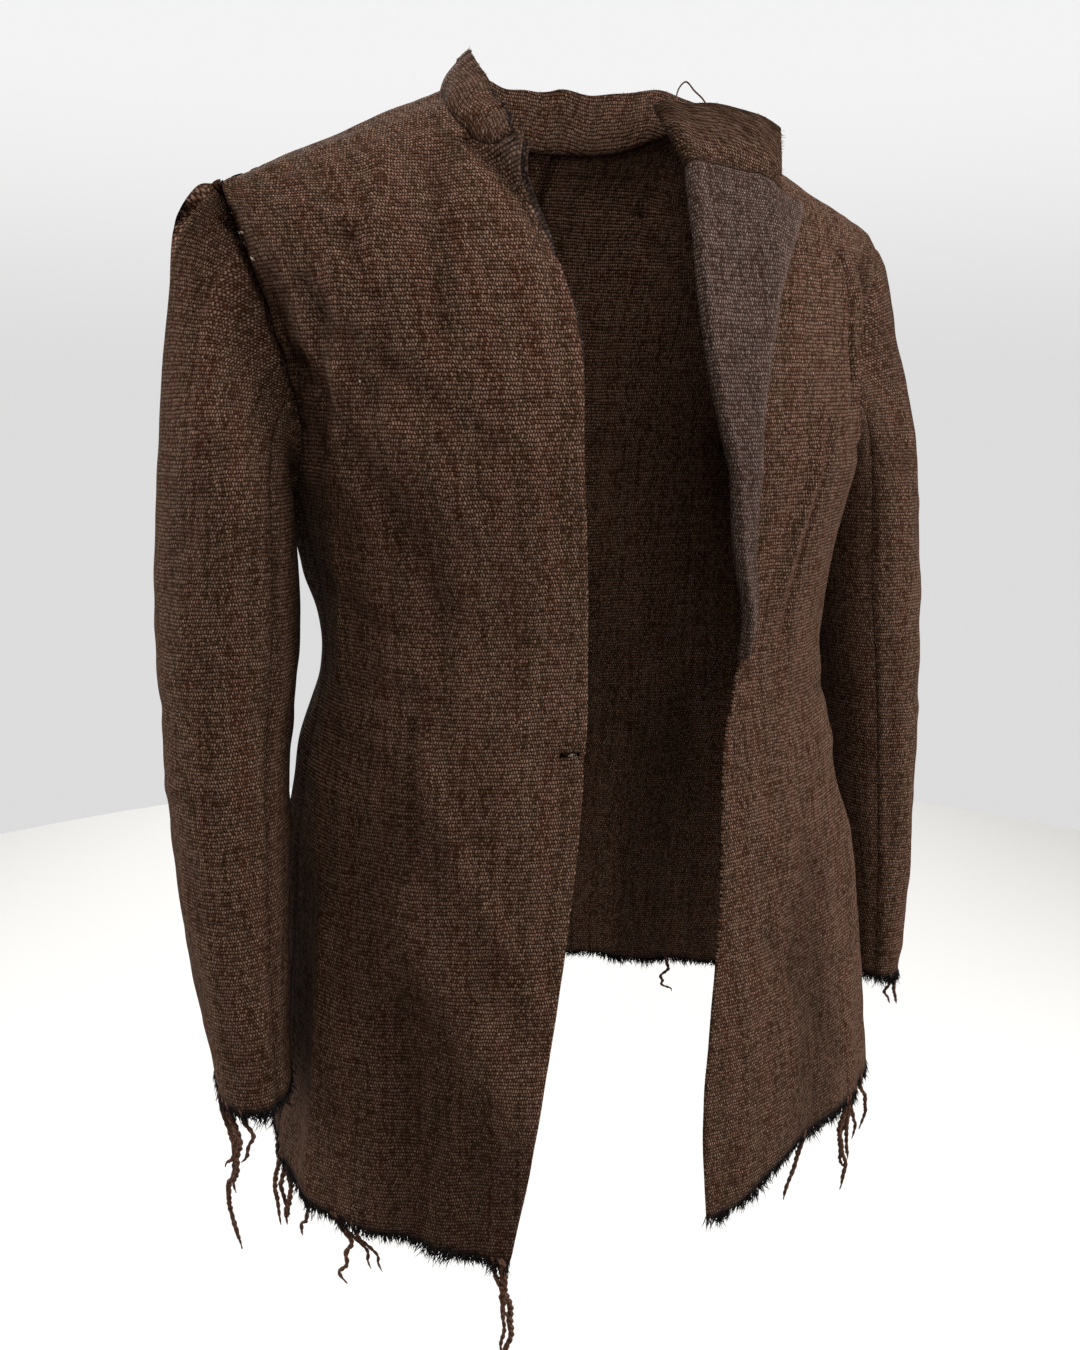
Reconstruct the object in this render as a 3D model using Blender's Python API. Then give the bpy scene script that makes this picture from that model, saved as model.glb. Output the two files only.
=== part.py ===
"""Military jacket: long, raw-edged, open in front, filled out with no wearer.

Metres. +Z is up, the front faces -Y and the wearer's left is +X.
The origin lies between the two neck points of the shoulder seams.

The body is one smooth form, written as a point for each pair (around, level):
around is 0 at the centre front, 1 at the left side, 2 at the centre back and -1 at the right side;
level is 0 at the hem, 1 at the chest and 2 on the ridge of the shoulders.
Every body piece is cut out of that form, and every wall is the cloth's thickness inside it.
"""
import math

import bpy
import numpy as np

for item in list(bpy.data.objects):
    bpy.data.objects.remove(item, do_unlink=True)

MM = 0.001
CLOTH = 2.4 * MM
SEAM = 0.3 * MM
STEP = 1e-4
TINY = 1e-9

SHOULDER_HALF = 235.5 * MM
SHOULDER_DROP = 66 * MM
NECK_HALF = 87.6 * MM
CHEST_Z = -235 * MM
HEM_Z = -740 * MM
SPREAD = 1.6
BACK_FULLNESS = 0.75
SHOULDER_BREADTH = 0.42

# height, half width, front depth, back depth in mm, and how far the ring is from square
TORSO = np.array([
    (-750, 243, 172, 178, 0.92),
    (-620, 226, 158, 158, 0.90),
    (-490, 210, 133, 127, 0.88),
    (-430, 199, 123, 110, 0.87),
    (-370, 187, 117, 99, 0.86),
    (-290, 190, 126, 106, 0.80),
    (-235, 198, 135, 114, 0.74),
])

# Where each edge runs on the form: how far along it, around, level
SIDE_END = 0.62
NECK_START = 0.80
EDGE_RIGHT = np.array([
    (0.000, 0.284, 0.000), (0.050, 0.253, 0.100), (0.100, 0.229, 0.205), (0.170, 0.187, 0.345),
    (0.235, 0.151, 0.470), (0.320, 0.120, 0.645), (0.420, 0.114, 0.853), (0.530, 0.110, 1.073),
    (0.590, 0.107, 1.198), (0.660, 0.124, 1.343), (0.730, 0.156, 1.470), (0.765, 0.160, 1.520),
    (NECK_START, 0.149, 1.575),
])
EDGE_LEFT = np.array([
    (0.000, 0.062, 0.000), (0.070, 0.060, 0.147), (0.140, 0.081, 0.278), (0.200, 0.112, 0.398),
    (0.260, 0.134, 0.522), (0.320, 0.160, 0.647), (0.360, 0.198, 0.730), (0.395, 0.215, 0.795),
    (0.450, 0.142, 0.910), (0.530, 0.080, 1.065), (0.620, 0.052, 1.255), (0.690, 0.054, 1.393),
    (NECK_START, 0.064, 1.550),
])
NECK_RIGHT = np.array([
    (NECK_START, 0.149, 1.575), (0.83, 0.178, 1.590), (0.86, 0.200, 1.640), (0.90, 0.212, 1.730),
    (0.95, 0.210, 1.870), (1.0, 0.20, 2.0),
])
NECK_LEFT = np.array([(NECK_START, 0.064, 1.550), (0.86, 0.150, 1.640), (0.93, 0.205, 1.800), (1.0, 0.20, 2.0)])
NAPE = 1.72
NECK_BACK = np.array([(NECK_START, 2.0, NAPE), (0.87, 1.925, 1.74), (0.94, 1.845, 1.84), (1.0, 1.80, 2.0)])
UNDERARM = 0.97
HOLE_FRONT = np.array([
    (SIDE_END, 1.000, UNDERARM), (0.70, 0.925, 1.060), (0.80, 0.880, 1.270), (0.92, 0.925, 1.640), (1.0, 1.0, 2.0),
])
HOLE_BACK = np.array([
    (SIDE_END, 1.000, UNDERARM), (0.70, 1.120, 1.060), (0.80, 1.170, 1.280), (0.92, 1.100, 1.680), (1.0, 1.0, 2.0),
])
# How much the hem stands above level 0, by the place around
HEM_RISE = np.array([
    (-2.0, 0.045), (-1.0, 0.035), (-0.8, 0.028), (-0.5, 0.010), (-0.28, -0.015), (0.06, 0.000),
    (0.12, 0.004), (0.20, 0.030), (0.30, 0.050), (0.70, 0.043), (1.0, 0.042), (2.0, 0.045),
])
HEM_REACH = 0.30
ROWS = np.concatenate([
    np.linspace(0.0, SIDE_END, 15)[:-1],
    np.linspace(SIDE_END, NECK_START, 5)[:-1],
    np.linspace(NECK_START, 1.0, 7),
])
COLUMNS = np.linspace(0.0, 1.0, 13)

# Soft folds of the body: around and level of both ends, half width and height in mm
FOLDS = (
    (-0.86, 1.25, -0.50, 0.92, 16, -5),
    (-0.72, 1.42, -0.58, 1.14, 15, -5),
    (-0.62, 0.78, -0.30, 0.70, 15, 4),
    (-0.52, 0.46, -0.26, 0.20, 24, 6),
    (-0.92, 0.44, -0.88, 0.10, 26, -4),
    (-0.70, 0.30, -0.70, 0.02, 24, 6),
    (-0.52, 0.30, -0.48, 0.02, 24, -6),
    (0.62, 1.50, 0.84, 1.20, 15, -6),
    (0.60, 1.28, 0.78, 1.02, 15, -5),
    (0.66, 0.44, 0.72, 0.02, 30, 8),
    (0.40, 0.42, 0.36, 0.02, 26, -5),
    (1.30, 0.50, 1.26, 0.02, 32, 10),
    (1.62, 0.52, 1.66, 0.02, 30, -8),
    (1.86, 0.50, 1.84, 0.02, 24, 9),
    (-1.36, 0.50, -1.30, 0.02, 30, 8),
    (-1.66, 0.48, -1.70, 0.02, 32, -8),
    (-1.88, 0.52, -1.86, 0.02, 24, 8),
    (1.14, 1.30, 1.46, 1.02, 16, -5),
    (-1.16, 1.32, -1.50, 1.00, 16, -5),
    (1.25, 0.74, 1.80, 0.66, 14, 4),
    (-1.30, 0.70, -1.78, 0.72, 13, 4),
)
GIRTH_OF_AROUND = 0.30
HEIGHT_OF_LEVEL = 0.50


def curve(table, column, at):
    """Smooth curve through one column of a table whose first column is the place along it."""
    x, y = table[:, 0], table[:, column]
    secant = np.diff(y) / np.diff(x)
    near = np.diff(x)[:-1] / (np.diff(x)[:-1] + np.diff(x)[1:])
    slope = np.concatenate([secant[:1], secant[:-1] * (1 - near) + secant[1:] * near, secant[-1:]])
    at = np.clip(at, x[0], x[-1])
    i = np.clip(np.searchsorted(x, at) - 1, 0, len(x) - 2)
    h = x[i + 1] - x[i]
    t = (at - x[i]) / h
    return (
        (2 * t**3 - 3 * t**2 + 1) * y[i] + (t**3 - 2 * t**2 + t) * h * slope[i]
        + (3 * t**2 - 2 * t**3) * y[i + 1] + (t**3 - t**2) * h * slope[i + 1]
    )


def power(value, exponent):
    return np.sign(value) * np.abs(value) ** exponent


def smooth(value):
    value = np.clip(value, 0.0, 1.0)
    return value * value * (3 - 2 * value)


def unit(vectors):
    return vectors / np.maximum(np.linalg.norm(vectors, axis=-1, keepdims=True), 1e-12)


def bare_form(around, level):
    """Body form without folds: rings up to the chest, then each column closes to the shoulder ridge."""
    around, level = np.broadcast_arrays(np.asarray(around, float), np.asarray(level, float))
    z = HEM_Z + (CHEST_Z - HEM_Z) * np.clip(level, -0.2, 1)
    at = z / MM
    half, square = curve(TORSO, 1, at) * MM, curve(TORSO, 4, at)
    angle = around * np.pi / 2
    front = np.cos(angle) >= 0
    depth = np.where(front, curve(TORSO, 2, at), curve(TORSO, 3, at)) * MM
    share = power(np.sin(angle), square)
    x = half * share
    y = -depth * power(np.cos(angle), square * (1 - SHOULDER_BREADTH * smooth(level - 1)))
    lean = np.clip(level - 1, 0, 1) * np.pi / 2
    x_ridge = SHOULDER_HALF * share
    run = np.clip((np.abs(x_ridge) - NECK_HALF) / (SHOULDER_HALF - NECK_HALF), 0, 1)
    rise = np.sin(lean)
    x = x + (x_ridge - x) * rise**SPREAD
    y = y * np.abs(np.cos(lean)) ** np.where(front, 1.0, BACK_FULLNESS)
    z = z + (-SHOULDER_DROP * run - z) * rise
    return np.stack([x, y, z], -1)


def fold_depth(around, level):
    """Height of the soft folds: each falls away from its own line like a bell."""
    total = np.zeros(np.broadcast(around, level).shape)
    for around_0, level_0, around_1, level_1, half_width, height in FOLDS:
        ax, ay = around_0 * GIRTH_OF_AROUND, level_0 * HEIGHT_OF_LEVEL
        bx, by = (around_1 - around_0) * GIRTH_OF_AROUND, (level_1 - level_0) * HEIGHT_OF_LEVEL
        px, py = around * GIRTH_OF_AROUND - ax, level * HEIGHT_OF_LEVEL - ay
        t = np.clip((px * bx + py * by) / (bx * bx + by * by), 0, 1)
        away = np.hypot(px - t * bx, py - t * by)
        total = total + height * MM * np.exp(-(away / (half_width * MM)) ** 2)
    return total


def normals(surface, p, q):
    along_p = surface(p + STEP, q) - surface(p - STEP, q)
    along_q = surface(p, q + STEP) - surface(p, q - STEP)
    return unit(np.cross(along_p, along_q))


def form(around, level):
    out = fold_depth(around, level)
    return bare_form(around, level) + normals(bare_form, around, level) * out[..., None]


# Right front: the corner beyond a soft crease swings out from the chest
CREASE_TOP, CREASE_LOW = (-0.247, 1.645), (-0.13, 1.28)
REVERS_OUT = 16 * MM
REVERS_RUN = 32 * MM
REVERS_FROM, REVERS_FULL = 1.15, 1.40
REVERS_UNTIL, REVERS_GONE = 1.64, 1.78


def revers_turn(around, level):
    """How far the turned corner stands out: it grows with the distance beyond the crease."""
    dx = (CREASE_LOW[0] - CREASE_TOP[0]) * GIRTH_OF_AROUND
    dy = (CREASE_LOW[1] - CREASE_TOP[1]) * HEIGHT_OF_LEVEL
    px = (around - CREASE_TOP[0]) * GIRTH_OF_AROUND
    py = (level - CREASE_TOP[1]) * HEIGHT_OF_LEVEL
    beyond = (px * -dy + py * dx) / math.hypot(dx, dy)
    rise = smooth((level - REVERS_FROM) / (REVERS_FULL - REVERS_FROM))
    fall = 1 - smooth((level - REVERS_UNTIL) / (REVERS_GONE - REVERS_UNTIL))
    return REVERS_OUT * smooth(beyond / REVERS_RUN) * rise * fall


def right_form(around, level):
    out = revers_turn(around, level)
    return form(around, level) + normals(bare_form, around, level) * out[..., None]


def pulled(grid, sides):
    """Draw the named edges of a grid of points half a seam inward."""
    result = grid.copy()
    for row, inner, edge in ((0, 1, "low"), (-1, -2, "high")):
        if edge in sides:
            result[row] += unit(grid[inner] - grid[row]) * SEAM / 2
    for column, inner, edge in ((0, 1, "start"), (-1, -2, "end")):
        if edge in sides:
            result[:, column] += unit(grid[:, inner] - grid[:, column]) * SEAM / 2
    return result


def add_solid(name, vertices, faces, colour):
    """One closed mesh with its own plain material, its faces turned outward."""
    vertices = np.asarray(vertices, float)
    volume = 0.0
    for face in faces:
        for i in range(1, len(face) - 1):
            a, b, c = vertices[face[0]], vertices[face[i]], vertices[face[i + 1]]
            volume += float(np.dot(a, np.cross(b, c)))
    if volume < 0:
        faces = [tuple(reversed(face)) for face in faces]
    mesh = bpy.data.meshes.new(name)
    mesh.from_pydata(vertices.tolist(), [], [tuple(int(i) for i in face) for face in faces])
    mesh.update()
    solid = bpy.data.objects.new(name, mesh)
    bpy.context.collection.objects.link(solid)
    material = bpy.data.materials.new(name)
    material.use_nodes = True
    shader = material.node_tree.nodes["Principled BSDF"]
    shader.inputs["Base Color"].default_value = (*colour, 1.0)
    shader.inputs["Roughness"].default_value = 0.9
    mesh.materials.append(material)
    return solid


WOOL = (0.055, 0.032, 0.021)
FACED = (0.075, 0.052, 0.042)
FRAY = (0.020, 0.014, 0.011)


def wall(name, outer, inner, colour=WOOL):
    """Closed wall between two grids of points of the same shape."""
    rows, columns = outer.shape[:2]
    count = rows * columns
    index = np.arange(count).reshape(rows, columns)
    faces = []
    for i in range(rows - 1):
        for j in range(columns - 1):
            a, b, c, d = index[i, j], index[i, j + 1], index[i + 1, j + 1], index[i + 1, j]
            for half in ((a, b, c), (a, c, d)):
                faces.append(half)
                faces.append(tuple(k + count for k in reversed(half)))
    vertices = np.concatenate([outer.reshape(-1, 3), inner.reshape(-1, 3)])
    rim = [*index[0, :-1], *index[:-1, -1], *index[-1, :0:-1], *index[:0:-1, 0]]
    for a, b in zip(rim[1:] + rim[:1], rim):
        c, d = b + count, a + count
        if np.linalg.norm(vertices[b] - vertices[d]) < np.linalg.norm(vertices[a] - vertices[c]):
            faces += [(a, b, d), (b, c, d)]
        else:
            faces += [(a, b, c), (a, c, d)]
    return add_solid(name, vertices, faces, colour)


def sheet_between(surface, p, q, out, inn, sides):
    """The two faces of a wall on a surface, at two distances along its normal."""
    base, normal = surface(p, q), normals(surface, p, q)
    return pulled(base + normal * out, sides), pulled(base + normal * inn, sides)


def body_grid(inner_edge, neck, outer_hole, side_around, sign):
    """Around and level of every point of a body piece, from its inner to its outer boundary."""
    t = ROWS
    upper = t > NECK_START + TINY
    inner_around = np.where(upper, curve(neck, 1, t), curve(inner_edge, 1, t))
    inner_level = np.where(upper, curve(neck, 2, t), curve(inner_edge, 2, t))
    hole = t > SIDE_END + TINY
    outer_around = np.where(hole, curve(outer_hole, 1, t), side_around)
    outer_level = np.where(hole, curve(outer_hole, 2, t), UNDERARM * t / SIDE_END)
    s = COLUMNS[None, :]
    around = inner_around[:, None] * (1 - s) + outer_around[:, None] * s
    level = inner_level[:, None] * (1 - s) + outer_level[:, None] * s
    around = around * sign
    fade = np.clip(1 - t / HEM_REACH, 0, 1)[:, None] ** 2
    return around, level + np.interp(around, HEM_RISE[:, 0], HEM_RISE[:, 1]) * fade


CENTRE_BACK = np.array([(0.0, 2.0, 0.0), (0.4, 2.0, 0.9), (0.6, 2.0, 1.35), (NECK_START, 2.0, NAPE)])
ALL_SIDES = ("low", "high", "start", "end")
SEWN = ("high", "start", "end")
GRIDS = {
    "front_right": (right_form, *body_grid(EDGE_RIGHT, NECK_RIGHT, HOLE_FRONT, 1.0, -1)),
    "front_left": (form, *body_grid(EDGE_LEFT, NECK_LEFT, HOLE_FRONT, 1.0, 1)),
    "back_right": (form, *body_grid(CENTRE_BACK, NECK_BACK, HOLE_BACK, 1.0, -1)),
    "back_left": (form, *body_grid(CENTRE_BACK, NECK_BACK, HOLE_BACK, 1.0, 1)),
}
FACES = {}
for piece, (surface, around_grid, level_grid) in GRIDS.items():
    FACES[piece] = sheet_between(surface, around_grid, level_grid, 0.0, -CLOTH, SEWN)
    wall(piece, *FACES[piece])

# Right facing: the second layer behind the right front's edge, on the same points
FACING_PART = (slice(1, 19), slice(0, 4))
facing_around = GRIDS["front_right"][1][FACING_PART]
facing_level = GRIDS["front_right"][2][FACING_PART]
LAYER = 0.4 * MM
wall("facing_right", *sheet_between(right_form, facing_around, facing_level,
                                    -CLOTH - LAYER, -2 * CLOTH - LAYER, ALL_SIDES), FACED)

# Lapel: level, around at its outer edge, lift at the middle and at the edge in mm
LAPEL = np.array([
    (0.79, 0.236, 4.0, 4.0),
    (0.91, 0.172, 4.0, 4.5),
    (1.01, 0.138, 4.0, 5.0),
    (1.19, 0.152, 3.5, 5.5),
    (1.33, 0.187, 3.5, 6.0),
    (1.43, 0.216, 4.0, 7.0),
    (1.55, 0.253, 4.5, 8.0),
])
ROLL_RADIUS = 3 * MM
ARC_STEPS = 4
LAPEL_FOOT = 0.39
LAPEL_ROWS = (ROWS > LAPEL_FOOT) & (ROWS < NECK_START + TINY)
LAPEL_SHARES = np.linspace(0.0, 1.0, 9)


def lapel_faces():
    """Section of the lapel: half a turn round the front's edge, then back over the front."""
    level = GRIDS["front_left"][2][LAPEL_ROWS, 0]
    roll = GRIDS["front_left"][1][LAPEL_ROWS, 0]
    edge = curve(LAPEL, 1, level)
    rim = form(roll, level)
    normal = normals(form, roll, level)
    toward = unit(form(roll - 0.02, level) - rim)
    toward = unit(toward - normal * np.sum(toward * normal, -1, keepdims=True))
    hidden, shown = [], []
    for k in range(ARC_STEPS):
        turn = -np.pi / 2 + np.pi * k / ARC_STEPS
        ray = toward * math.cos(turn) + normal * math.sin(turn)
        centre = rim + normal * ROLL_RADIUS + toward * SEAM
        hidden.append(centre + ray * ROLL_RADIUS)
        shown.append(centre + ray * (ROLL_RADIUS + CLOTH))
    for share in LAPEL_SHARES:
        around = roll + (edge - roll) * share
        here = form(around, level)
        out = normals(form, around, level)
        middle = curve(LAPEL, 2, level) * MM
        last = curve(LAPEL, 3, level) * MM
        lift = 2 * ROLL_RADIUS * (1 - share) ** 2 + 2 * middle * share * (1 - share) + last * share**2
        shift = toward * SEAM * (1 - share)
        hidden.append(here + shift + out * lift[:, None])
        shown.append(here + shift + out * (lift[:, None] + CLOTH))
    return np.stack(shown, 1), np.stack(hidden, 1)


LAPEL_FACES = lapel_faces()
wall("lapel_left", *LAPEL_FACES, FACED)


# Sleeves: place down the sleeve, centre x y z, half width, half depth, rise of the outer side, in mm
SLEEVE_LEFT = np.array([
    (0.30, 242, 18, -262, 41, 64, 0.45),
    (0.44, 250, 17, -335, 45.5, 62, 0.12),
    (0.58, 256, 10, -415, 41, 59, 0.04),
    (0.72, 260, 4, -498, 37, 56, 0.02),
    (0.86, 263, -3, -582, 31.5, 51, 0.00),
    (1.00, 265, -10, -658, 27, 46, -0.04),
])
SLEEVE_RIGHT = np.array([
    (0.30, 244, -4, -262, 41, 64, 0.45),
    (0.44, 248, 4, -335, 45.5, 62, 0.12),
    (0.58, 254, 0, -412, 41, 59, 0.04),
    (0.72, 257, -12, -490, 37, 56, 0.02),
    (0.86, 258, -26, -570, 31.5, 51, 0.00),
    (1.00, 258.5, -38, -640, 27, 46, -0.04),
])
CROWN_END = 0.30
SLEEVE_SQUARE = 0.92
CROWN_REACH = 86 * MM
UNDER_REACH = 0.35
# Direction in which the sleeve leaves the armhole: outward, to front and back, and up or down
LEAVE_OUT, LEAVE_APART, LEAVE_UNDER, LEAVE_DROP = 0.9, 0.35, 0.06, 0.09
RING_STEP = 0.01
SLEEVE_STEPS = np.concatenate([(0.0, 0.025, 0.06, 0.11, 0.17, 0.23), np.linspace(CROWN_END, 1.0, 11)])
HOLE_ROWS = ROWS[ROWS >= SIDE_END - TINY]
HALF_TURN = (HOLE_ROWS - SIDE_END) / (1 - SIDE_END) / 2
TURN = np.concatenate([HALF_TURN, 1 - HALF_TURN[-2::-1]])
UNDER_FRONT = 3
UNDER_BACK = 4


def armhole_point(side, turn):
    """Point of the armhole seam; turn is 0 under the arm, a quarter in front and a half at the shoulder."""
    turn = np.mod(turn, 1.0)
    ahead = turn <= 0.5
    t = SIDE_END + (1 - SIDE_END) * 2 * np.where(ahead, turn, 1 - turn)
    around = np.where(ahead, curve(HOLE_FRONT, 1, t), curve(HOLE_BACK, 1, t))
    level = np.where(ahead, curve(HOLE_FRONT, 2, t), curve(HOLE_BACK, 2, t))
    return form(side * around, level)


def sleeve_ring(table, turn, place):
    angle = 2 * np.pi * turn
    across = -power(np.cos(angle), SLEEVE_SQUARE)
    x = curve(table, 1, place) + curve(table, 4, place) * across
    y = curve(table, 2, place) - curve(table, 5, place) * power(np.sin(angle), SLEEVE_SQUARE)
    z = curve(table, 3, place) + curve(table, 6, place) * curve(table, 4, place) * across
    return np.stack([x, y, z], -1) * MM


def sleeve_surface(side, table):
    """Sleeve as a function of the turn round the arm and the place down it."""
    mirror = np.array([side, 1.0, 1.0])

    def surface(turn, place):
        turn, place = np.broadcast_arrays(np.asarray(turn, float), np.asarray(place, float))
        start = armhole_point(side, turn) * mirror
        angle = 2 * np.pi * turn
        leave = np.stack([
            LEAVE_OUT + 0 * angle,
            -LEAVE_APART * np.sin(angle),
            LEAVE_UNDER - LEAVE_DROP * (1 - np.cos(angle)),
        ], -1)
        share = UNDER_REACH + (1 - UNDER_REACH) * np.sin(angle / 2) ** 2
        leave = unit(leave) * CROWN_REACH * share[..., None]
        end = sleeve_ring(table, turn, np.full(turn.shape, CROWN_END))
        after = sleeve_ring(table, turn, np.full(turn.shape, CROWN_END + RING_STEP))
        arrive = (after - end) / RING_STEP * CROWN_END
        t = (place / CROWN_END)[..., None]
        crown = (
            (2 * t**3 - 3 * t**2 + 1) * start + (t**3 - 2 * t**2 + t) * leave
            + (3 * t**2 - 2 * t**3) * end + (t**3 - t**2) * arrive
        )
        below = sleeve_ring(table, turn, place)
        return np.where(t < 1, crown, below) * mirror

    return surface


def outward_normals(surface, side, p, q):
    return normals(surface, p, q) * -side


def sleeve_faces(side, table, first, last):
    """Both faces of one sleeve piece between two columns of the armhole's rows."""
    surface = sleeve_surface(side, table)
    count = len(TURN) - 1
    turn = np.array([TURN[k % count] + k // count for k in range(first, last + 1)])[None, :]
    place = SLEEVE_STEPS[:, None]
    turn, place = np.broadcast_arrays(turn, place)
    base = surface(turn, place)
    out = outward_normals(surface, side, turn, place)
    sides = ("low", "start", "end")
    return pulled(base, sides), pulled(base - out * CLOTH, sides)


SLEEVES = {}
for word, side, table in (("left", 1, SLEEVE_LEFT), ("right", -1, SLEEVE_RIGHT)):
    last = len(TURN) - 1 - UNDER_BACK
    SLEEVES["top_sleeve_" + word] = sleeve_faces(side, table, UNDER_FRONT, last)
    SLEEVES["under_sleeve_" + word] = sleeve_faces(side, table, -UNDER_BACK, UNDER_FRONT)
for piece, pair in SLEEVES.items():
    wall(piece, *pair)

# Collar: how far along it, then the way from its seam to its top edge in mm
COLLAR_TOP = np.array([
    (0.00, 6, 3, 7),
    (0.08, 10, 6, 15),
    (0.16, 14, 9, 25),
    (0.22, 14, 7, 32),
    (0.33, 6, 2, 36),
    (0.44, 0, 0, 38),
    (0.55, 12, 6, 31),
    (0.64, 32, 5, 0),
    (0.74, 20, 20, 14),
    (0.82, -13, 25, 46),
    (0.86, -13, 25, 47),
    (1.00, 8, 12, 34),
])
COLLAR_ROWS = (0.10, 0.28, 0.50, 0.75, 1.0)
# It leaves its seam upright, a little inward, before it takes its own lean
COLLAR_START = 0.35
COLLAR_INWARD = 0.2
COLLAR_COLUMNS_ON_LAPEL = ARC_STEPS + 7


def collar_faces():
    """Band on the neckline: round the neck, round the left roll, then along the lapel's top edge."""
    neck_rows = np.flatnonzero(ROWS >= NECK_START - TINY)
    outer, inner = [], []

    def follow(piece, rows):
        out_face, in_face = FACES[piece]
        outer.extend(out_face[rows, 0])
        inner.extend(in_face[rows, 0])

    follow("front_right", neck_rows[1:-1])
    follow("back_right", neck_rows[::-1])
    follow("back_left", neck_rows[1:])
    follow("front_left", neck_rows[-2::-1])
    shown, hidden = LAPEL_FACES
    outer.extend(hidden[-1, 1:COLLAR_COLUMNS_ON_LAPEL])
    inner.extend(shown[-1, 1:COLLAR_COLUMNS_ON_LAPEL])
    outer, inner = np.array(outer), np.array(inner)
    count = len(outer)
    into = unit(np.cross(np.gradient(outer, axis=0), outer - inner))
    along = np.concatenate([[0.0], np.cumsum(np.linalg.norm(np.diff(outer, axis=0), axis=1))])
    along /= along[-1]
    top = np.stack([curve(COLLAR_TOP, k, along) for k in (1, 2, 3)], -1) * MM
    middle = (outer + inner) / 2
    on_lapel = (np.arange(count) >= count - COLLAR_COLUMNS_ON_LAPEL + 1)[:, None]
    base = middle + into * (1.5 * SEAM + np.where(on_lapel, 0.0, CLOTH / 2))
    reach = COLLAR_START * np.linalg.norm(top, axis=1, keepdims=True)
    upright = np.array([0.0, 0.0, 1.0]) + into * COLLAR_INWARD
    start = unit(np.where(on_lapel, into, upright)) * reach
    h = np.array(COLLAR_ROWS)[:, None, None]
    centre = base + 2 * h * (1 - h) * start + h * h * top
    along_u = np.gradient(centre, axis=1)
    along_h = np.gradient(np.concatenate([base[None], centre]), axis=0)[1:]
    normal = unit(np.cross(along_u, along_h))
    out_face = np.concatenate([(outer + into * SEAM)[None], centre - normal * CLOTH / 2])
    in_face = np.concatenate([(inner + into * SEAM)[None], centre + normal * CLOTH / 2])
    return out_face, in_face


COLLAR_FACES = collar_faces()
wall("collar", *COLLAR_FACES)

# Fringe: a narrow strip below each raw edge, with strands and locks drawn out of it
STRIP = 2.2 * MM
STRANDS_A_PIECE = 34
STRANDS_A_CUFF = 15
STRAND_WIDTH = (1.8, 2.6)
STRAND_LENGTH = (5, 10)
STRAND_LEAN = 0.4
STRAND_TIP = 0.35
STRAND_SHIFT = 0.15
LOCK_WIDTH = 4.0
LOCK_STEPS = 6
LOCK_SWAY = 0.32
LOCK_WAVE = 1.7
LOCK_TAPER, LOCK_TIP = 0.95, 0.45


def strand_path(rng, down, along, out):
    """Steps of a short strand: one leaning, tapering end of frayed yarn."""
    length = rng.uniform(*STRAND_LENGTH) * MM
    lean = rng.uniform(-STRAND_LEAN, STRAND_LEAN) * along + rng.uniform(0, STRAND_LEAN) * out
    return [(unit(down + lean) * length, STRAND_TIP)]


def lock_path(rng, length, along, out):
    """Steps of a long lock: it hangs, wavers from side to side and thins to its tip."""
    steps = []
    phase = rng.uniform(0, 2 * math.pi)
    for k in range(LOCK_STEPS):
        sway = LOCK_SWAY * (math.sin(phase + LOCK_WAVE * k) * along + math.cos(phase + k) * out / 3)
        fall = unit(np.array([0.0, 0.0, -1.0]) + sway)
        steps.append((fall * length * MM / LOCK_STEPS, LOCK_TAPER if k < LOCK_STEPS - 1 else LOCK_TIP))
    return steps


def fringe(name, outer, inner, down, count, locks, seed, closed=False):
    """Strip of four-sided section along the edge; every other stretch of it carries a strand."""
    rng = np.random.default_rng(seed)
    if closed:
        outer, inner, down = (np.concatenate([g, g[:1]]) for g in (outer, inner, down))
    length = np.concatenate([[0.0], np.cumsum(np.linalg.norm(np.diff(outer, axis=0), axis=1))])
    pitch = length[-1] / count
    stops, carries = [0.0], []
    for k in range(count):
        width = (LOCK_WIDTH if k in locks else rng.uniform(*STRAND_WIDTH)) * MM
        at = pitch * (k + 0.5 + rng.uniform(-STRAND_SHIFT, STRAND_SHIFT))
        stops += [at - width / 2, at + width / 2]
        carries += [None, k]
    stops.append(length[-1])
    carries.append(None)
    if closed:
        stops = stops[:-1]

    def along_edge(grid):
        return np.stack([np.interp(stops, length, grid[:, k]) for k in range(3)], -1)

    out_rim, in_rim, fall = along_edge(outer), along_edge(inner), unit(along_edge(down))
    top = np.stack([out_rim, in_rim], 1) + fall[:, None] * SEAM
    low = top + fall[:, None] * STRIP
    points = np.concatenate([top, low], 1).reshape(-1, 3).tolist()
    faces = []
    sections = len(stops)
    for k in range(sections if closed else sections - 1):
        a, b = 4 * k, 4 * ((k + 1) % sections)
        faces += [(a, b, b + 1, a + 1), (a, a + 2, b + 2, b), (a + 1, b + 1, b + 3, a + 3)]
        strand = carries[k] if k < len(carries) else None
        ring = [a + 2, a + 3, b + 3, b + 2]
        if strand is None:
            faces.append(tuple(ring))
            continue
        corners = np.array([points[i] for i in ring])
        along = unit(corners[3] - corners[0])
        out = unit(corners[0] - corners[1])
        hang = fall[k]
        if strand in locks:
            steps = lock_path(rng, locks[strand], along, out)
        else:
            steps = strand_path(rng, hang, along, out)
        for move, taper in steps:
            middle = corners.mean(0)
            corners = middle + (corners - middle) * taper + move
            first = len(points)
            points += corners.tolist()
            after = [first, first + 1, first + 2, first + 3]
            for i in range(4):
                j = (i + 1) % 4
                faces.append((ring[i], ring[j], after[j], after[i]))
            ring = after
        faces.append(tuple(ring))
    if not closed:
        last = 4 * (sections - 1)
        faces += [(0, 1, 3, 2), (last + 1, last, last + 2, last + 3)]
    add_solid(name, points, faces, FRAY)


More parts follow.
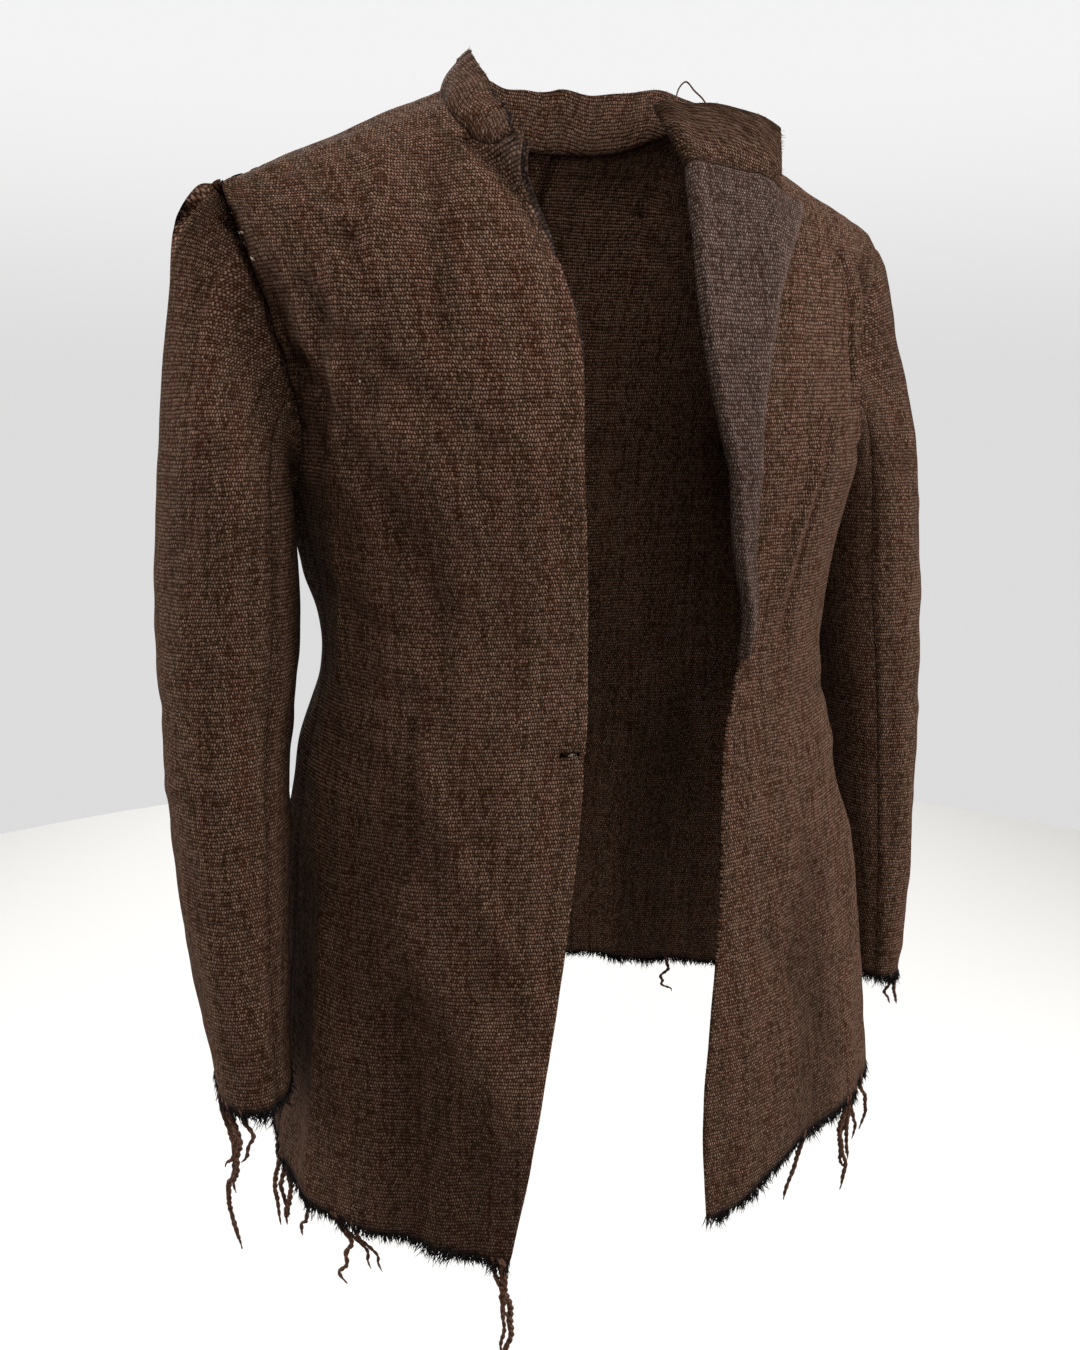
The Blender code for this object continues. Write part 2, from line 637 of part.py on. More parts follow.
# Long locks of each raw edge: which strand, length in mm
HEM_LOCKS = {
    "front_right": {0: 84, 2: 70, 15: 34, 17: 46, 25: 46, 31: 56, 33: 78},
    "front_left": {11: 46, 18: 58, 21: 28, 27: 46},
    "back_right": {6: 50, 19: 64, 30: 42},
    "back_left": {4: 58, 16: 40, 27: 62},
}
for number, (piece, locks) in enumerate(HEM_LOCKS.items()):
    out_face, in_face = FACES[piece]
    fringe("hem_fringe_" + piece, out_face[0], in_face[0], unit(out_face[0] - out_face[1]),
           STRANDS_A_PIECE, locks, 11 + number)
CUFF_LOCKS = {"left": {5: 26, 8: 30}, "right": {3: 105, 2: 60, 1: 40}}
for number, (word, locks) in enumerate(CUFF_LOCKS.items()):
    rims = []
    for layer in (0, 1):
        top_rim = SLEEVES["top_sleeve_" + word][layer]
        under_rim = SLEEVES["under_sleeve_" + word][layer]
        rims.append([np.concatenate([top_rim[row, :-1], under_rim[row, :-1]]) for row in (-1, -2)])
    (out_rim, out_above), (in_rim, _) = rims
    fringe("cuff_fringe_" + word, out_rim, in_rim, unit(out_rim - out_above),
           STRANDS_A_CUFF, locks, 31 + number, closed=True)
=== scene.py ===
# %% [markdown]
# # A raw-edged wool jacket
#
# This lesson dresses a jacket whose plain solids are already made. The real one is cut from coarse brown
# wool, woven brown over black, with its hem and cuffs left raw, so black warp ends and long brown yarns hang
# out of them.
#
# Cloth could be simulated here, but nothing lies under this jacket to drape it on. Its shape comes from its
# cut, so each panel is a surface worked out from formulas, finer than the solid it stands for.
#
# The front faces -Y, +Z is up and the wearer's left is +X. The origin lies between the neck points.

# %% The frame
import math

import bpy
import numpy as np
from mathutils import Matrix, Vector
from mathutils.bvhtree import BVHTree


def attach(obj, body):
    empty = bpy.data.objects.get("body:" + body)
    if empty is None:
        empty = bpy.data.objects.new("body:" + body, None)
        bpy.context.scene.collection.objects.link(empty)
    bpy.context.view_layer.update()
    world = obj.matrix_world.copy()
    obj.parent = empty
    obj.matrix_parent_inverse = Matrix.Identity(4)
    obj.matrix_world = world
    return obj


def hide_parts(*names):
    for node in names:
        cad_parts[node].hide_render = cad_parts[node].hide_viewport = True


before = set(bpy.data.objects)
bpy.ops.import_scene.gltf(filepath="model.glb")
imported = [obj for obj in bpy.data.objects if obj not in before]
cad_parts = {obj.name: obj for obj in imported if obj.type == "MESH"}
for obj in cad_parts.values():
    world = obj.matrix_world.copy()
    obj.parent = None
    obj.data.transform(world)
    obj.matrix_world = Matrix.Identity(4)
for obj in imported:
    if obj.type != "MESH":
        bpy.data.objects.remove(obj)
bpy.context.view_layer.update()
MM = 0.001
CLOTH = 2.4 * MM
SEAM = 0.12 * MM
print("nodes of the frame:", len(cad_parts))

# %% [markdown]
# ## Curves through a few named rows
#
# A pattern cutter draws a long edge through a handful of marks. The same is done here: a table has a row for
# each mark, and a smooth curve runs through them. Blender's own curves could do it, but a formula can be
# asked for any point, and for whole arrays of points at once.

# %% Smooth curves
def cubic(t, start, leaving, end, arriving):
    """Hermite curve from start to end over t = 0 to 1, with a slope at each end."""
    return (
        (2 * t**3 - 3 * t**2 + 1) * start + (t**3 - 2 * t**2 + t) * leaving
        + (3 * t**2 - 2 * t**3) * end + (t**3 - t**2) * arriving
    )


def curve(table, column, at):
    """Cubic through one column of a table; a slope is the mean of the chords beside it, by their nearness."""
    x, y = table[:, 0], table[:, column]
    chord = np.diff(y) / np.diff(x)
    near = np.diff(x)[:-1] / (np.diff(x)[:-1] + np.diff(x)[1:])
    slope = np.concatenate([chord[:1], chord[:-1] * (1 - near) + chord[1:] * near, chord[-1:]])
    at = np.clip(at, x[0], x[-1])
    i = np.clip(np.searchsorted(x, at) - 1, 0, len(x) - 2)
    h = x[i + 1] - x[i]
    return cubic((at - x[i]) / h, y[i], h * slope[i], y[i + 1], h * slope[i + 1])


def power(value, exponent):
    """Sign kept, size raised to the exponent."""
    return np.sign(value) * np.abs(value) ** exponent


def smooth(value):
    """3v^2 - 2v^3 between 0 and 1, level outside."""
    value = np.clip(value, 0.0, 1.0)
    return value * value * (3 - 2 * value)


def bell(distance, width):
    """e^-(distance / width)^2."""
    return np.exp(-(distance / width) ** 2)


def unit(vectors):
    """Each vector over its own length."""
    return vectors / np.maximum(np.linalg.norm(vectors, axis=-1, keepdims=True), 1e-12)


def length_along(points, axis=0):
    """Running length of polylines: the sum of the steps so far."""
    points = np.moveaxis(points, axis, 0)
    steps = np.linalg.norm(np.diff(points, axis=0), axis=-1)
    total = np.concatenate([np.zeros((1, *steps.shape[1:])), np.cumsum(steps, axis=0)])
    return np.moveaxis(total, 0, axis)


def read_at(at, along, values):
    """Each column of values read where the running length is at."""
    return np.stack([np.interp(at, along, column) for column in values.T], -1)


print("a bell one width from its middle", round(float(bell(1, 1)), 3))

# %% [markdown]
# ## The body's form
#
# The body is one tube that closes to a ridge along the shoulders. Two numbers name any place on it: around
# is 0 at the centre front, 1 at the left side, 2 at the centre back and -1 at the right side; level is 0 at
# the hem, 1 at the chest and 2 on the ridge. Its sections are rounded squares, wide at the shoulders, drawn
# in at the waist and flared at the skirt.

# %% Body sections
SHOULDER_HALF = 235.5 * MM
SHOULDER_DROP = 66 * MM
NECK_HALF = 87.6 * MM
CHEST_Z = -235 * MM
HEM_Z = -740 * MM
LOWEST_LEVEL = -0.2
SPREAD = 1.6
BACK_FULLNESS = 0.75
# The left shoulder is narrower and lower than the right, and the left chest is drawn in round one level.
LEFT_NARROWER, LEFT_LOWER, LEFT_DRAWN_IN = 9 * MM, 17 * MM, 14 * MM
DRAWN_LEVEL, DRAWN_RUN = 1.28, 0.27
LOWER_FROM, LOWER_RUN = 0.34, 0.14
LOWER_END_FROM, LOWER_END_SHARE = 0.62, 0.35
SHOULDER_BREADTH = 0.42

# height, half width, front depth, back depth in mm, and how far the ring is from square
TORSO = np.array([
    (-750, 243, 172, 178, 0.92), (-620, 226, 158, 158, 0.9), (-490, 210, 133, 127, 0.88),
    (-430, 199, 123, 110, 0.87), (-370, 187, 117, 99, 0.86), (-290, 190, 126, 106, 0.8),
    (-235, 198, 135, 114, 0.74),
])


def bare_form(around, level):
    """x = half width sin(a)^s, y = -depth cos(a)^s up to the chest; above it both run to the ridge."""
    around, level = np.broadcast_arrays(np.asarray(around, float), np.asarray(level, float))
    z = HEM_Z + (CHEST_Z - HEM_Z) * np.clip(level, LOWEST_LEVEL, 1)
    at = z / MM
    half, square = curve(TORSO, 1, at) * MM, curve(TORSO, 4, at)
    angle = around * np.pi / 2
    front = np.cos(angle) >= 0
    depth = np.where(front, curve(TORSO, 2, at), curve(TORSO, 3, at)) * MM
    share = power(np.sin(angle), square)
    x = half * share
    y = -depth * power(np.cos(angle), square * (1 - SHOULDER_BREADTH * smooth(level - 1)))
    lean = np.clip(level - 1, 0, 1) * np.pi / 2
    ridge = SHOULDER_HALF * share
    run = np.clip((np.abs(ridge) - NECK_HALF) / (SHOULDER_HALF - NECK_HALF), 0, 1)
    rise = np.sin(lean)
    ridge = ridge - LEFT_NARROWER * np.maximum(share, 0) ** 4
    x = x + (ridge - x) * rise**SPREAD
    x = x - LEFT_DRAWN_IN * np.maximum(share, 0) ** 3 * bell(level - DRAWN_LEVEL, DRAWN_RUN)
    y = y * np.abs(np.cos(lean)) ** np.where(front, 1.0, BACK_FULLNESS)
    z = z + (-SHOULDER_DROP * run - z) * rise
    end = 1 - LOWER_END_SHARE * smooth((share - LOWER_END_FROM) / (1 - LOWER_END_FROM))
    z = z - LEFT_LOWER * smooth((share - LOWER_FROM) / LOWER_RUN) * end * rise**3
    return np.stack([x, y, z], -1)


STEP = 1e-4


def normals(surface, p, q):
    """Cross product of the surface's two slopes, taken by small steps either way."""
    along_p = surface(p + STEP, q) - surface(p - STEP, q)
    along_q = surface(p, q + STEP) - surface(p, q - STEP)
    return unit(np.cross(along_p, along_q))


print("chest width", round(2 * float(bare_form(1.0, 1.0)[0]), 3), "m")

# %% [markdown]
# ## Folds and creases
#
# The jacket hangs in long soft folds below the waist and is drawn into small ones at the armholes and the
# waist. A fold could be sculpted, but a short table is easier to mend: a line from one place to another, how
# wide it is, and how far it stands out or sinks in. Each falls away from its line like a bell. The first
# table holds the large folds that the solids have too. The second has the finer creases, each of its own
# length, width and depth.

# %% Fold tables
# lengths in metres that one unit of around and of level stand for
GIRTH = 0.30
HEIGHT = 0.50
WAVES = 26
FINEST, COARSEST = 16 * MM, 90 * MM
WAVE_HEIGHT = 0.010
HOLLOW_DEPTH = 4 * MM
FORM_SEED = 5
# around and level of both ends, half width and height in mm
FOLDS = np.array([
    (-0.86, 1.25, -0.5, 0.92, 16, -4), (-0.72, 1.42, -0.58, 1.14, 15, -5), (-0.62, 0.78, -0.3, 0.7, 15, 4),
    (-0.52, 0.46, -0.26, 0.2, 24, 6), (-0.92, 0.44, -0.88, 0.1, 26, -4), (-0.74, 0.26, -0.76, 0.02, 22, 4),
    (-0.52, 0.3, -0.48, 0.02, 24, -6), (0.62, 1.5, 0.84, 1.2, 15, -6), (0.6, 1.28, 0.78, 1.02, 15, -5),
    (0.66, 0.44, 0.72, 0.02, 30, 8), (0.4, 0.42, 0.36, 0.02, 26, -5), (1.3, 0.5, 1.26, 0.02, 32, 10),
    (1.62, 0.52, 1.66, 0.02, 30, -8), (1.86, 0.5, 1.84, 0.02, 24, 9), (-1.36, 0.5, -1.3, 0.02, 30, 8),
    (-1.66, 0.48, -1.7, 0.02, 32, -8), (-1.88, 0.52, -1.86, 0.02, 24, 8), (1.14, 1.3, 1.46, 1.02, 16, -5),
    (-1.16, 1.32, -1.5, 1, 16, -5), (1.25, 0.74, 1.8, 0.66, 14, 4), (-1.3, 0.7, -1.78, 0.72, 13, 4),
])
CREASES = np.array([
    (-0.222, 1.64, -0.128, 1.36, 5, -4.6), (-0.71, 1.34, -0.825, 1.06, 9, -3.6),
    (-0.585, 1.45, -0.734, 1.07, 9, 3), (-0.92, 1.42, -0.93, 1.1, 6, -3.5), (0.96, 1.62, 0.98, 1.25, 30, -8),
    (-1.08, 0.97, -1.16, 0.87, 26, 10), (-1.13, 0.62, -1.17, 0.46, 42, 8), (-0.54, 0.7, -0.5, 0.53, 4, -3.2),
    (-0.3, 0.715, -0.6, 0.735, 5, -1.8), (-0.112, 0.665, -0.165, 0.666, 1.8, -1.8),
    (-0.121, 0.646, -0.108, 0.626, 1.6, -1.4), (-0.12, 0.64, -0.26, 0.66, 9, -2.2),
    (-0.6, 0.64, -0.88, 0.67, 6, -2), (-0.66, 0.59, -0.95, 0.6, 8, 2), (-0.58, 0.8, -0.9, 0.86, 9, -2),
    (-0.29, 1.62, -0.37, 1.26, 9, -2.4), (-0.37, 1.73, -0.51, 1.38, 9, 2.8), (-0.52, 1.5, -0.5, 1.2, 9, -2.6),
    (-0.7, 1.66, -0.5, 1.52, 10, 2), (-0.62, 1.3, -0.3, 1.06, 10, -2.8), (-0.66, 1.2, -0.34, 0.94, 9, 2.2),
    (-0.7, 1.06, -0.44, 0.84, 10, -2.4), (-0.56, 0.5, -0.34, 0.04, 56, -7.5),
    (-0.88, 1.46, -0.86, 1.02, 17, -3.4), (0.79, 1.66, 0.72, 1.08, 5, -3.8),
    (-0.506, 0.66, -0.213, 0.33, 9, 3), (-0.3, 0.4, -0.52, 0.2, 10, -2.2), (-0.4, 0.16, -0.44, 0, 9, 2.6),
    (-0.8, 0.4, -0.78, 0.05, 10, 2.4), (-0.22, 0.95, -0.26, 0.5, 12, 1.8), (-0.45, 1, -0.46, 0.76, 12, -1.8),
    (-0.82, 0.92, -0.86, 0.74, 9, 2), (-0.34, 0.2, -0.36, 0, 10, -2.2), (0.33, 1.12, 0.31, 0.84, 5, 2.8),
    (0.37, 1.1, 0.36, 0.78, 4, -2.4), (0.4, 1.46, 0.58, 1.2, 8, 2.6), (0.52, 1.42, 0.66, 1.06, 7, 2.8),
    (0.43, 1.5, 0.55, 1.14, 7, -4.8), (0.72, 1.34, 0.86, 1.12, 6, -2.8), (0.44, 0.7, 0.86, 0.66, 8, -2),
    (0.5, 0.6, 0.92, 0.58, 9, 2), (0.2, 0.55, 0.52, 0.3, 12, 2.2), (0.24, 0.36, 0.5, 0.12, 10, -2.2),
    (0.58, 0.3, 0.55, 0.04, 10, 2.8), (0.86, 0.44, 0.88, 0.06, 11, -2.8), (0.16, 0.28, 0.14, 0.04, 9, 1.8),
    (0.7, 1.72, 0.56, 1.5, 10, -2), (1.18, 1.46, 1.34, 1.2, 7, 2.2), (1.3, 0.66, 1.66, 0.58, 9, -2),
    (1.46, 0.82, 1.86, 0.78, 8, 1.8), (1.5, 0.42, 1.47, 0.05, 11, -3), (1.76, 0.38, 1.75, 0.03, 10, 2.8),
    (1.1, 0.36, 1.12, 0.04, 10, 2.4), (1.56, 1.66, 1.62, 1.3, 12, 2), (1.84, 1.58, 1.62, 1.42, 9, -1.8),
    (-1.2, 1.44, -1.36, 1.16, 7, 2.2), (-1.26, 0.6, -1.7, 0.63, 9, -2.2), (-1.5, 0.84, -1.84, 0.76, 8, 1.7),
    (-1.48, 0.4, -1.52, 0.04, 11, 3), (-1.78, 0.34, -1.77, 0.03, 10, -2.6),
    (-1.12, 0.36, -1.1, 0.06, 10, -2.6), (-1.6, 1.62, -1.58, 1.26, 12, -2),
])


def ridges(table, p, q, p_size, q_size):
    """Sum of height e^-(distance to the fold's line / half width)^2 over the rows of a fold table."""
    total = np.zeros(np.broadcast(p, q).shape)
    for p_0, q_0, p_1, q_1, half_width, height in table:
        run_p, run_q = (p_1 - p_0) * p_size, (q_1 - q_0) * q_size
        at_p, at_q = (p - p_0) * p_size, (q - q_0) * q_size
        t = np.clip((at_p * run_p + at_q * run_q) / (run_p**2 + run_q**2), 0, 1)
        away = np.hypot(at_p - t * run_p, at_q - t * run_q)
        total = total + height * MM * bell(away, half_width * MM)
    return total


def crinkle(p, q, seed):
    """Unevenness of hand-woven cloth: a sum of sines of seeded directions, the shorter the lower."""
    rng = np.random.default_rng(seed)
    total = np.zeros(np.broadcast(p, q).shape)
    for _ in range(WAVES):
        wave = FINEST * (COARSEST / FINEST) ** rng.random()
        turn, phase = rng.uniform(0, np.pi), rng.uniform(0, 2 * np.pi)
        total = total + wave * np.sin((p * np.cos(turn) + q * np.sin(turn)) * 2 * np.pi / wave + phase)
    return total / np.sqrt(WAVES) * WAVE_HEIGHT


def relief(around, level):
    """Height of the folds and creases over the bare form."""
    return ridges(FOLDS, around, level, GIRTH, HEIGHT) + ridges(CREASES, around, level, GIRTH, HEIGHT)


def painted_shade(height):
    """Painted shade in the folds: 0 on a fold's back, rising to 1 in its depth."""
    return 1 - np.exp(np.minimum(height, 0) / HOLLOW_DEPTH)


def form(around, level):
    """The bare form moved along its normal by the folds, the creases and a little unevenness."""
    out = relief(around, level) + crinkle(around * GIRTH, level * HEIGHT, FORM_SEED)
    return bare_form(around, level) + normals(bare_form, around, level) * out[..., None]


print(len(FOLDS), "folds and", len(CREASES), "creases on the body")

# %% [markdown]
# ## The turned corner of the right front
#
# The right front lies nearly flat to the neck, but its top corner has fallen open beyond a soft crease. The
# corner swings out by an amount that grows with its distance from the crease, which is kinder to the cloth
# than a sharp bend.

# %% Turned corner
CREASE_TOP, CREASE_LOW = (-0.222, 1.640), (-0.126, 1.345)
REVERS_OUT = 12 * MM
REVERS_RUN = 19 * MM
REVERS_FROM, REVERS_FULL = 1.22, 1.44
REVERS_UNTIL, REVERS_GONE = 1.64, 1.78


def revers_turn(around, level):
    """Distance beyond the crease, eased in over its run and faded out at both ends."""
    dx = (CREASE_LOW[0] - CREASE_TOP[0]) * GIRTH
    dy = (CREASE_LOW[1] - CREASE_TOP[1]) * HEIGHT
    px = (around - CREASE_TOP[0]) * GIRTH
    py = (level - CREASE_TOP[1]) * HEIGHT
    beyond = (px * -dy + py * dx) / math.hypot(dx, dy)
    rise = smooth((level - REVERS_FROM) / (REVERS_FULL - REVERS_FROM))
    fall = 1 - smooth((level - REVERS_UNTIL) / (REVERS_GONE - REVERS_UNTIL))
    return REVERS_OUT * smooth(beyond / REVERS_RUN) * rise * fall


def right_form(around, level):
    """The form, with the turned corner standing out from it."""
    out = revers_turn(around, level)
    return form(around, level) + normals(bare_form, around, level) * out[..., None]


print("corner stands out", REVERS_OUT, "m")

# %% [markdown]
# ## Where each edge runs
#
# A front is a patch of the form between its inner edge, its hem, its side seam, its armhole and its shoulder
# seam. Each edge is a curve in around and level, so a panel's own grid runs from its inner edge to its outer
# one, row by row, from hem to shoulder.

# %% Edges of the body panels
SIDE_END = 0.62
NECK_START = 0.80
UNDERARM = 0.97
NAPE = 1.72
HEM_REACH = 0.30
# how far along the edge, around, level
EDGE_RIGHT = np.array([
    (0, 0.284, 0), (0.05, 0.253, 0.1), (0.1, 0.229, 0.205), (0.17, 0.187, 0.345), (0.235, 0.151, 0.47),
    (0.32, 0.12, 0.645), (0.42, 0.114, 0.853), (0.53, 0.11, 1.073), (0.59, 0.107, 1.198),
    (0.66, 0.124, 1.343), (0.73, 0.156, 1.47), (0.765, 0.16, 1.52), (NECK_START, 0.149, 1.575),
])
EDGE_LEFT = np.array([
    (0, 0.062, 0), (0.07, 0.06, 0.147), (0.14, 0.081, 0.278), (0.2, 0.112, 0.398), (0.26, 0.134, 0.522),
    (0.32, 0.16, 0.647), (0.36, 0.198, 0.73), (0.395, 0.211, 0.795), (0.45, 0.134, 0.91),
    (0.53, 0.072, 1.065), (0.62, 0.043, 1.255), (0.69, 0.043, 1.393), (NECK_START, 0.052, 1.55),
])
NECK_RIGHT = np.array([
    (NECK_START, 0.149, 1.573), (0.82, 0.163, 1.576), (0.84, 0.183, 1.583), (0.86, 0.203, 1.614),
    (0.88, 0.218, 1.655), (0.91, 0.23, 1.715), (0.94, 0.228, 1.79), (0.97, 0.214, 1.89), (1, 0.2, 2),
])
NECK_LEFT = np.array([(NECK_START, 0.052, 1.55), (0.86, 0.15, 1.64), (0.93, 0.205, 1.8), (1, 0.2, 2)])
NECK_BACK = np.array([(NECK_START, 2, NAPE), (0.87, 1.925, 1.74), (0.94, 1.845, 1.84), (1, 1.8, 2)])
CENTRE_BACK = np.array([(0, 2, 0), (0.4, 2, 0.9), (0.6, 2, 1.35), (NECK_START, 2, NAPE)])


def armhole(*marks):
    """An armhole's edge: from the underarm over a few marks to the end of the shoulder."""
    return np.array([(SIDE_END, 1.0, UNDERARM), *marks, (1.0, 1.0, 2.0)])


HOLE_FRONT = {
    -1: armhole((0.70, 0.955, 1.06), (0.80, 0.970, 1.27), (0.87, 0.995, 1.47), (0.94, 1.005, 1.72)),
    1: armhole((0.70, 0.840, 1.06), (0.80, 0.750, 1.27), (0.92, 0.850, 1.64)),
}
HOLE_BACK = {
    -1: armhole((0.70, 1.130, 1.06), (0.80, 1.190, 1.28), (0.92, 1.140, 1.68)),
    1: armhole((0.70, 1.120, 1.06), (0.80, 1.170, 1.28), (0.92, 1.100, 1.68)),
}
# around, and how much the hem stands above level 0 there
HEM_RISE = np.array([
    (-2, 0.045), (-1, 0.035), (-0.8, 0.028), (-0.5, 0.01), (-0.28, -0.015), (0.06, 0), (0.12, 0.004),
    (0.2, 0.03), (0.3, 0.05), (0.7, 0.043), (1, 0.042), (2, 0.045),
])


def body_grid(inner_edge, neck, outer_hole, sign, rows, columns):
    """Around and level of a panel's points: (1 - s) inner edge + s outer edge for each row's place t."""
    t, s = rows, columns[None, :]
    inner = [np.where(t > NECK_START, curve(neck, k, t), curve(inner_edge, k, t)) for k in (1, 2)]
    side_seam = (1.0, UNDERARM * t / SIDE_END)
    outer = [np.where(t > SIDE_END, curve(outer_hole, k, t), side_seam[k - 1]) for k in (1, 2)]
    around, level = (a[:, None] * (1 - s) + b[:, None] * s for a, b in zip(inner, outer))
    around = around * sign
    fade = np.clip(1 - t / HEM_REACH, 0, 1)[:, None] ** 2
    return around, level + np.interp(around, HEM_RISE[:, 0], HEM_RISE[:, 1]) * fade


def rows_of(below, beside, above):
    """Rows of a panel: so many below the underarm, beside the armhole and above the neck's start."""
    return np.concatenate([
        np.linspace(0.0, SIDE_END, below + 1)[:-1],
        np.linspace(SIDE_END, NECK_START, beside + 1)[:-1],
        np.linspace(NECK_START, 1.0, above + 1),
    ])


FRONT_ROWS = rows_of(162, 46, 52)
BACK_ROWS = rows_of(130, 38, 40)
FRONT_COLUMNS = np.linspace(0.0, 1.0, 106)
BACK_COLUMNS = np.linspace(0.0, 1.0, 90)
FRONT_CUT = {-1: (EDGE_RIGHT, NECK_RIGHT, HOLE_FRONT[-1], -1), 1: (EDGE_LEFT, NECK_LEFT, HOLE_FRONT[1], 1)}
GRIDS = {}
for word, side, surface in (("right", -1, right_form), ("left", 1, form)):
    GRIDS["front_" + word] = (surface, *body_grid(*FRONT_CUT[side], FRONT_ROWS, FRONT_COLUMNS))
    back_cut = (CENTRE_BACK, NECK_BACK, HOLE_BACK[side], side)
    GRIDS["back_" + word] = (form, *body_grid(*back_cut, BACK_ROWS, BACK_COLUMNS))
SLIT_LEVEL = 0.652
SLIT_COLUMNS = (1, 6)
SLIT_PINCH = 0.68
LEVELLED_ROWS, LEVELLED_COLUMNS = 5, 8
PINCHED_ROWS = 2
SLIT_BLUNTNESS = 0.4
SLIT_UNEVEN, SLIT_WAVE = 0.12, 2.3


def with_slit(around, level):
    """Level the rows beside the buttonhole and pinch its edges together; returns the grid and its row."""
    row = int(np.argmin(np.abs(level[:, 0] - SLIT_LEVEL)))
    away = np.arange(len(level))[:, None] - (row + 0.5)
    column = np.arange(level.shape[1])[None, :]
    near = bell(away, LEVELLED_ROWS) * (1 - smooth((column - SLIT_COLUMNS[1]) / LEVELLED_COLUMNS))
    straight = level + near * (level[:, :1] - level)
    share = np.clip((column - SLIT_COLUMNS[0]) / (SLIT_COLUMNS[1] - SLIT_COLUMNS[0]), 0, 1)
    gap = straight[row + 1] - straight[row]
    uneven = 1 + SLIT_UNEVEN * np.sin(column * SLIT_WAVE)
    pinch = SLIT_PINCH * np.sin(np.pi * share) ** SLIT_BLUNTNESS * uneven
    closing = np.sign(away) * gap / 2 * pinch * bell(np.abs(away) - 0.5, PINCHED_ROWS)
    return around, straight - closing, row


SLIT_GRID = with_slit(*GRIDS["front_right"][1:])
GRIDS["front_right"] = (right_form, *SLIT_GRID[:2])
SLIT = (SLIT_GRID[2], SLIT_GRID[2] + 1, *SLIT_COLUMNS)
print({name: grid[1].shape for name, grid in GRIDS.items()}, "slit", SLIT)

# %% [markdown]
# ## The weave's own ruler
#
# A stripe in real cloth keeps its width wherever the cloth goes. So a panel's weave can't follow around and
# level, which stretch. Instead a ruler is laid on the form: across is the true length from a grain line at
# that level, and along is the true length up from the hem. Those two lengths, in metres, become each piece's
# UV map.

# %% Cloth lengths on the form
LATTICE_AROUND = np.linspace(-2.0, 2.0, 201)
LATTICE_LEVEL = np.linspace(-0.1, 2.0, 148)
LATTICE = bare_form(LATTICE_AROUND[None, :], LATTICE_LEVEL[:, None])
LATTICE_ACROSS = length_along(LATTICE, axis=1)
LATTICE_ALONG = length_along(LATTICE, axis=0)


def on_lattice(values, around, level):
    """Bilinear reading of a lattice of values."""
    x = (around - LATTICE_AROUND[0]) / (LATTICE_AROUND[1] - LATTICE_AROUND[0])
    y = (level - LATTICE_LEVEL[0]) / (LATTICE_LEVEL[1] - LATTICE_LEVEL[0])
    i = np.clip(y.astype(int), 0, len(LATTICE_LEVEL) - 2)
    j = np.clip(x.astype(int), 0, len(LATTICE_AROUND) - 2)
    fy, fx = y - i, x - j
    low, high = (values[k, j] * (1 - fx) + values[k, j + 1] * fx for k in (i, i + 1))
    return low * (1 - fy) + high * fy


def cloth_place(around, level, grain):
    """UV of a place: length across from the grain line, and length up from the hem."""
    across = on_lattice(LATTICE_ACROSS, around, level) - on_lattice(LATTICE_ACROSS, 0 * around + grain, level)
    return np.stack([across, on_lattice(LATTICE_ALONG, around, level)], -1)


# where each panel's grain line runs, as around
GRAIN = {"front_right": -0.42, "front_left": 0.42, "back_right": -1.7, "back_left": 1.7}
print("hem to nape", round(float(LATTICE_ALONG[-15, 200]), 3), "m")

# %% [markdown]
# ## From a grid of points to a piece of cloth
#
# A flat sheet would show its thinness at every raw edge. Each piece is a closed wall instead: an outer face,
# an inner face and a rim. The rim gets one more row of points that bulges a little, so a cut edge looks soft
# and catches the light. Solidify could do this, but here the two faces are worked out apart, and so the
# seams fit.

# %% Mesh builders
RIM_RAW = 0.9 * MM
RIM_SEWN = 0.08 * MM
PIECES = {}


def new_mesh(name, points, quads, triangles, uv, marks=None):
    """One smooth-shaded mesh object from arrays: points, faces, a UV for each point and named values."""
    mesh = bpy.data.meshes.new(name)
    corners = np.concatenate([quads.reshape(-1), triangles.reshape(-1)])
    sizes = np.repeat([4, 3], [len(quads), len(triangles)])
    mesh.vertices.add(len(points))
    mesh.vertices.foreach_set("co", np.asarray(points, np.float32).reshape(-1))
    mesh.loops.add(len(corners))
    mesh.loops.foreach_set("vertex_index", corners.astype(np.int32))
    mesh.polygons.add(len(sizes))
    starts = np.concatenate([[0], np.cumsum(sizes)[:-1]])
    mesh.polygons.foreach_set("loop_start", starts.astype(np.int32))
    mesh.polygons.foreach_set("use_smooth", np.ones(len(sizes), bool))
    layer = mesh.uv_layers.new(name="weave")
    layer.data.foreach_set("uv", np.asarray(uv, np.float32)[corners].reshape(-1))
    for word, values in (marks or {}).items():
        mesh.attributes.new(word, "FLOAT", "POINT").data.foreach_set("value", values.astype(np.float32))
    mesh.update()
    mesh.validate()
    piece = bpy.data.objects.new(name, mesh)
    bpy.context.collection.objects.link(piece)
    return piece


def volume_of(points, quads):
    """Signed volume: a sixth of the sum of a . (b x c) over the faces' triangles."""
    a, b, c, d = (points[quads[:, k]] for k in range(4))
    return float((a * (np.cross(b, c) + np.cross(c, d))).sum() / 6)


def round_block(index, low, high, start, end):
    """Vertices round a block of quads of a grid, in the quads' own direction."""
    return np.concatenate([
        index[low, start:end], index[low:high, end], index[high, end:start:-1], index[high:low:-1, start],
    ])


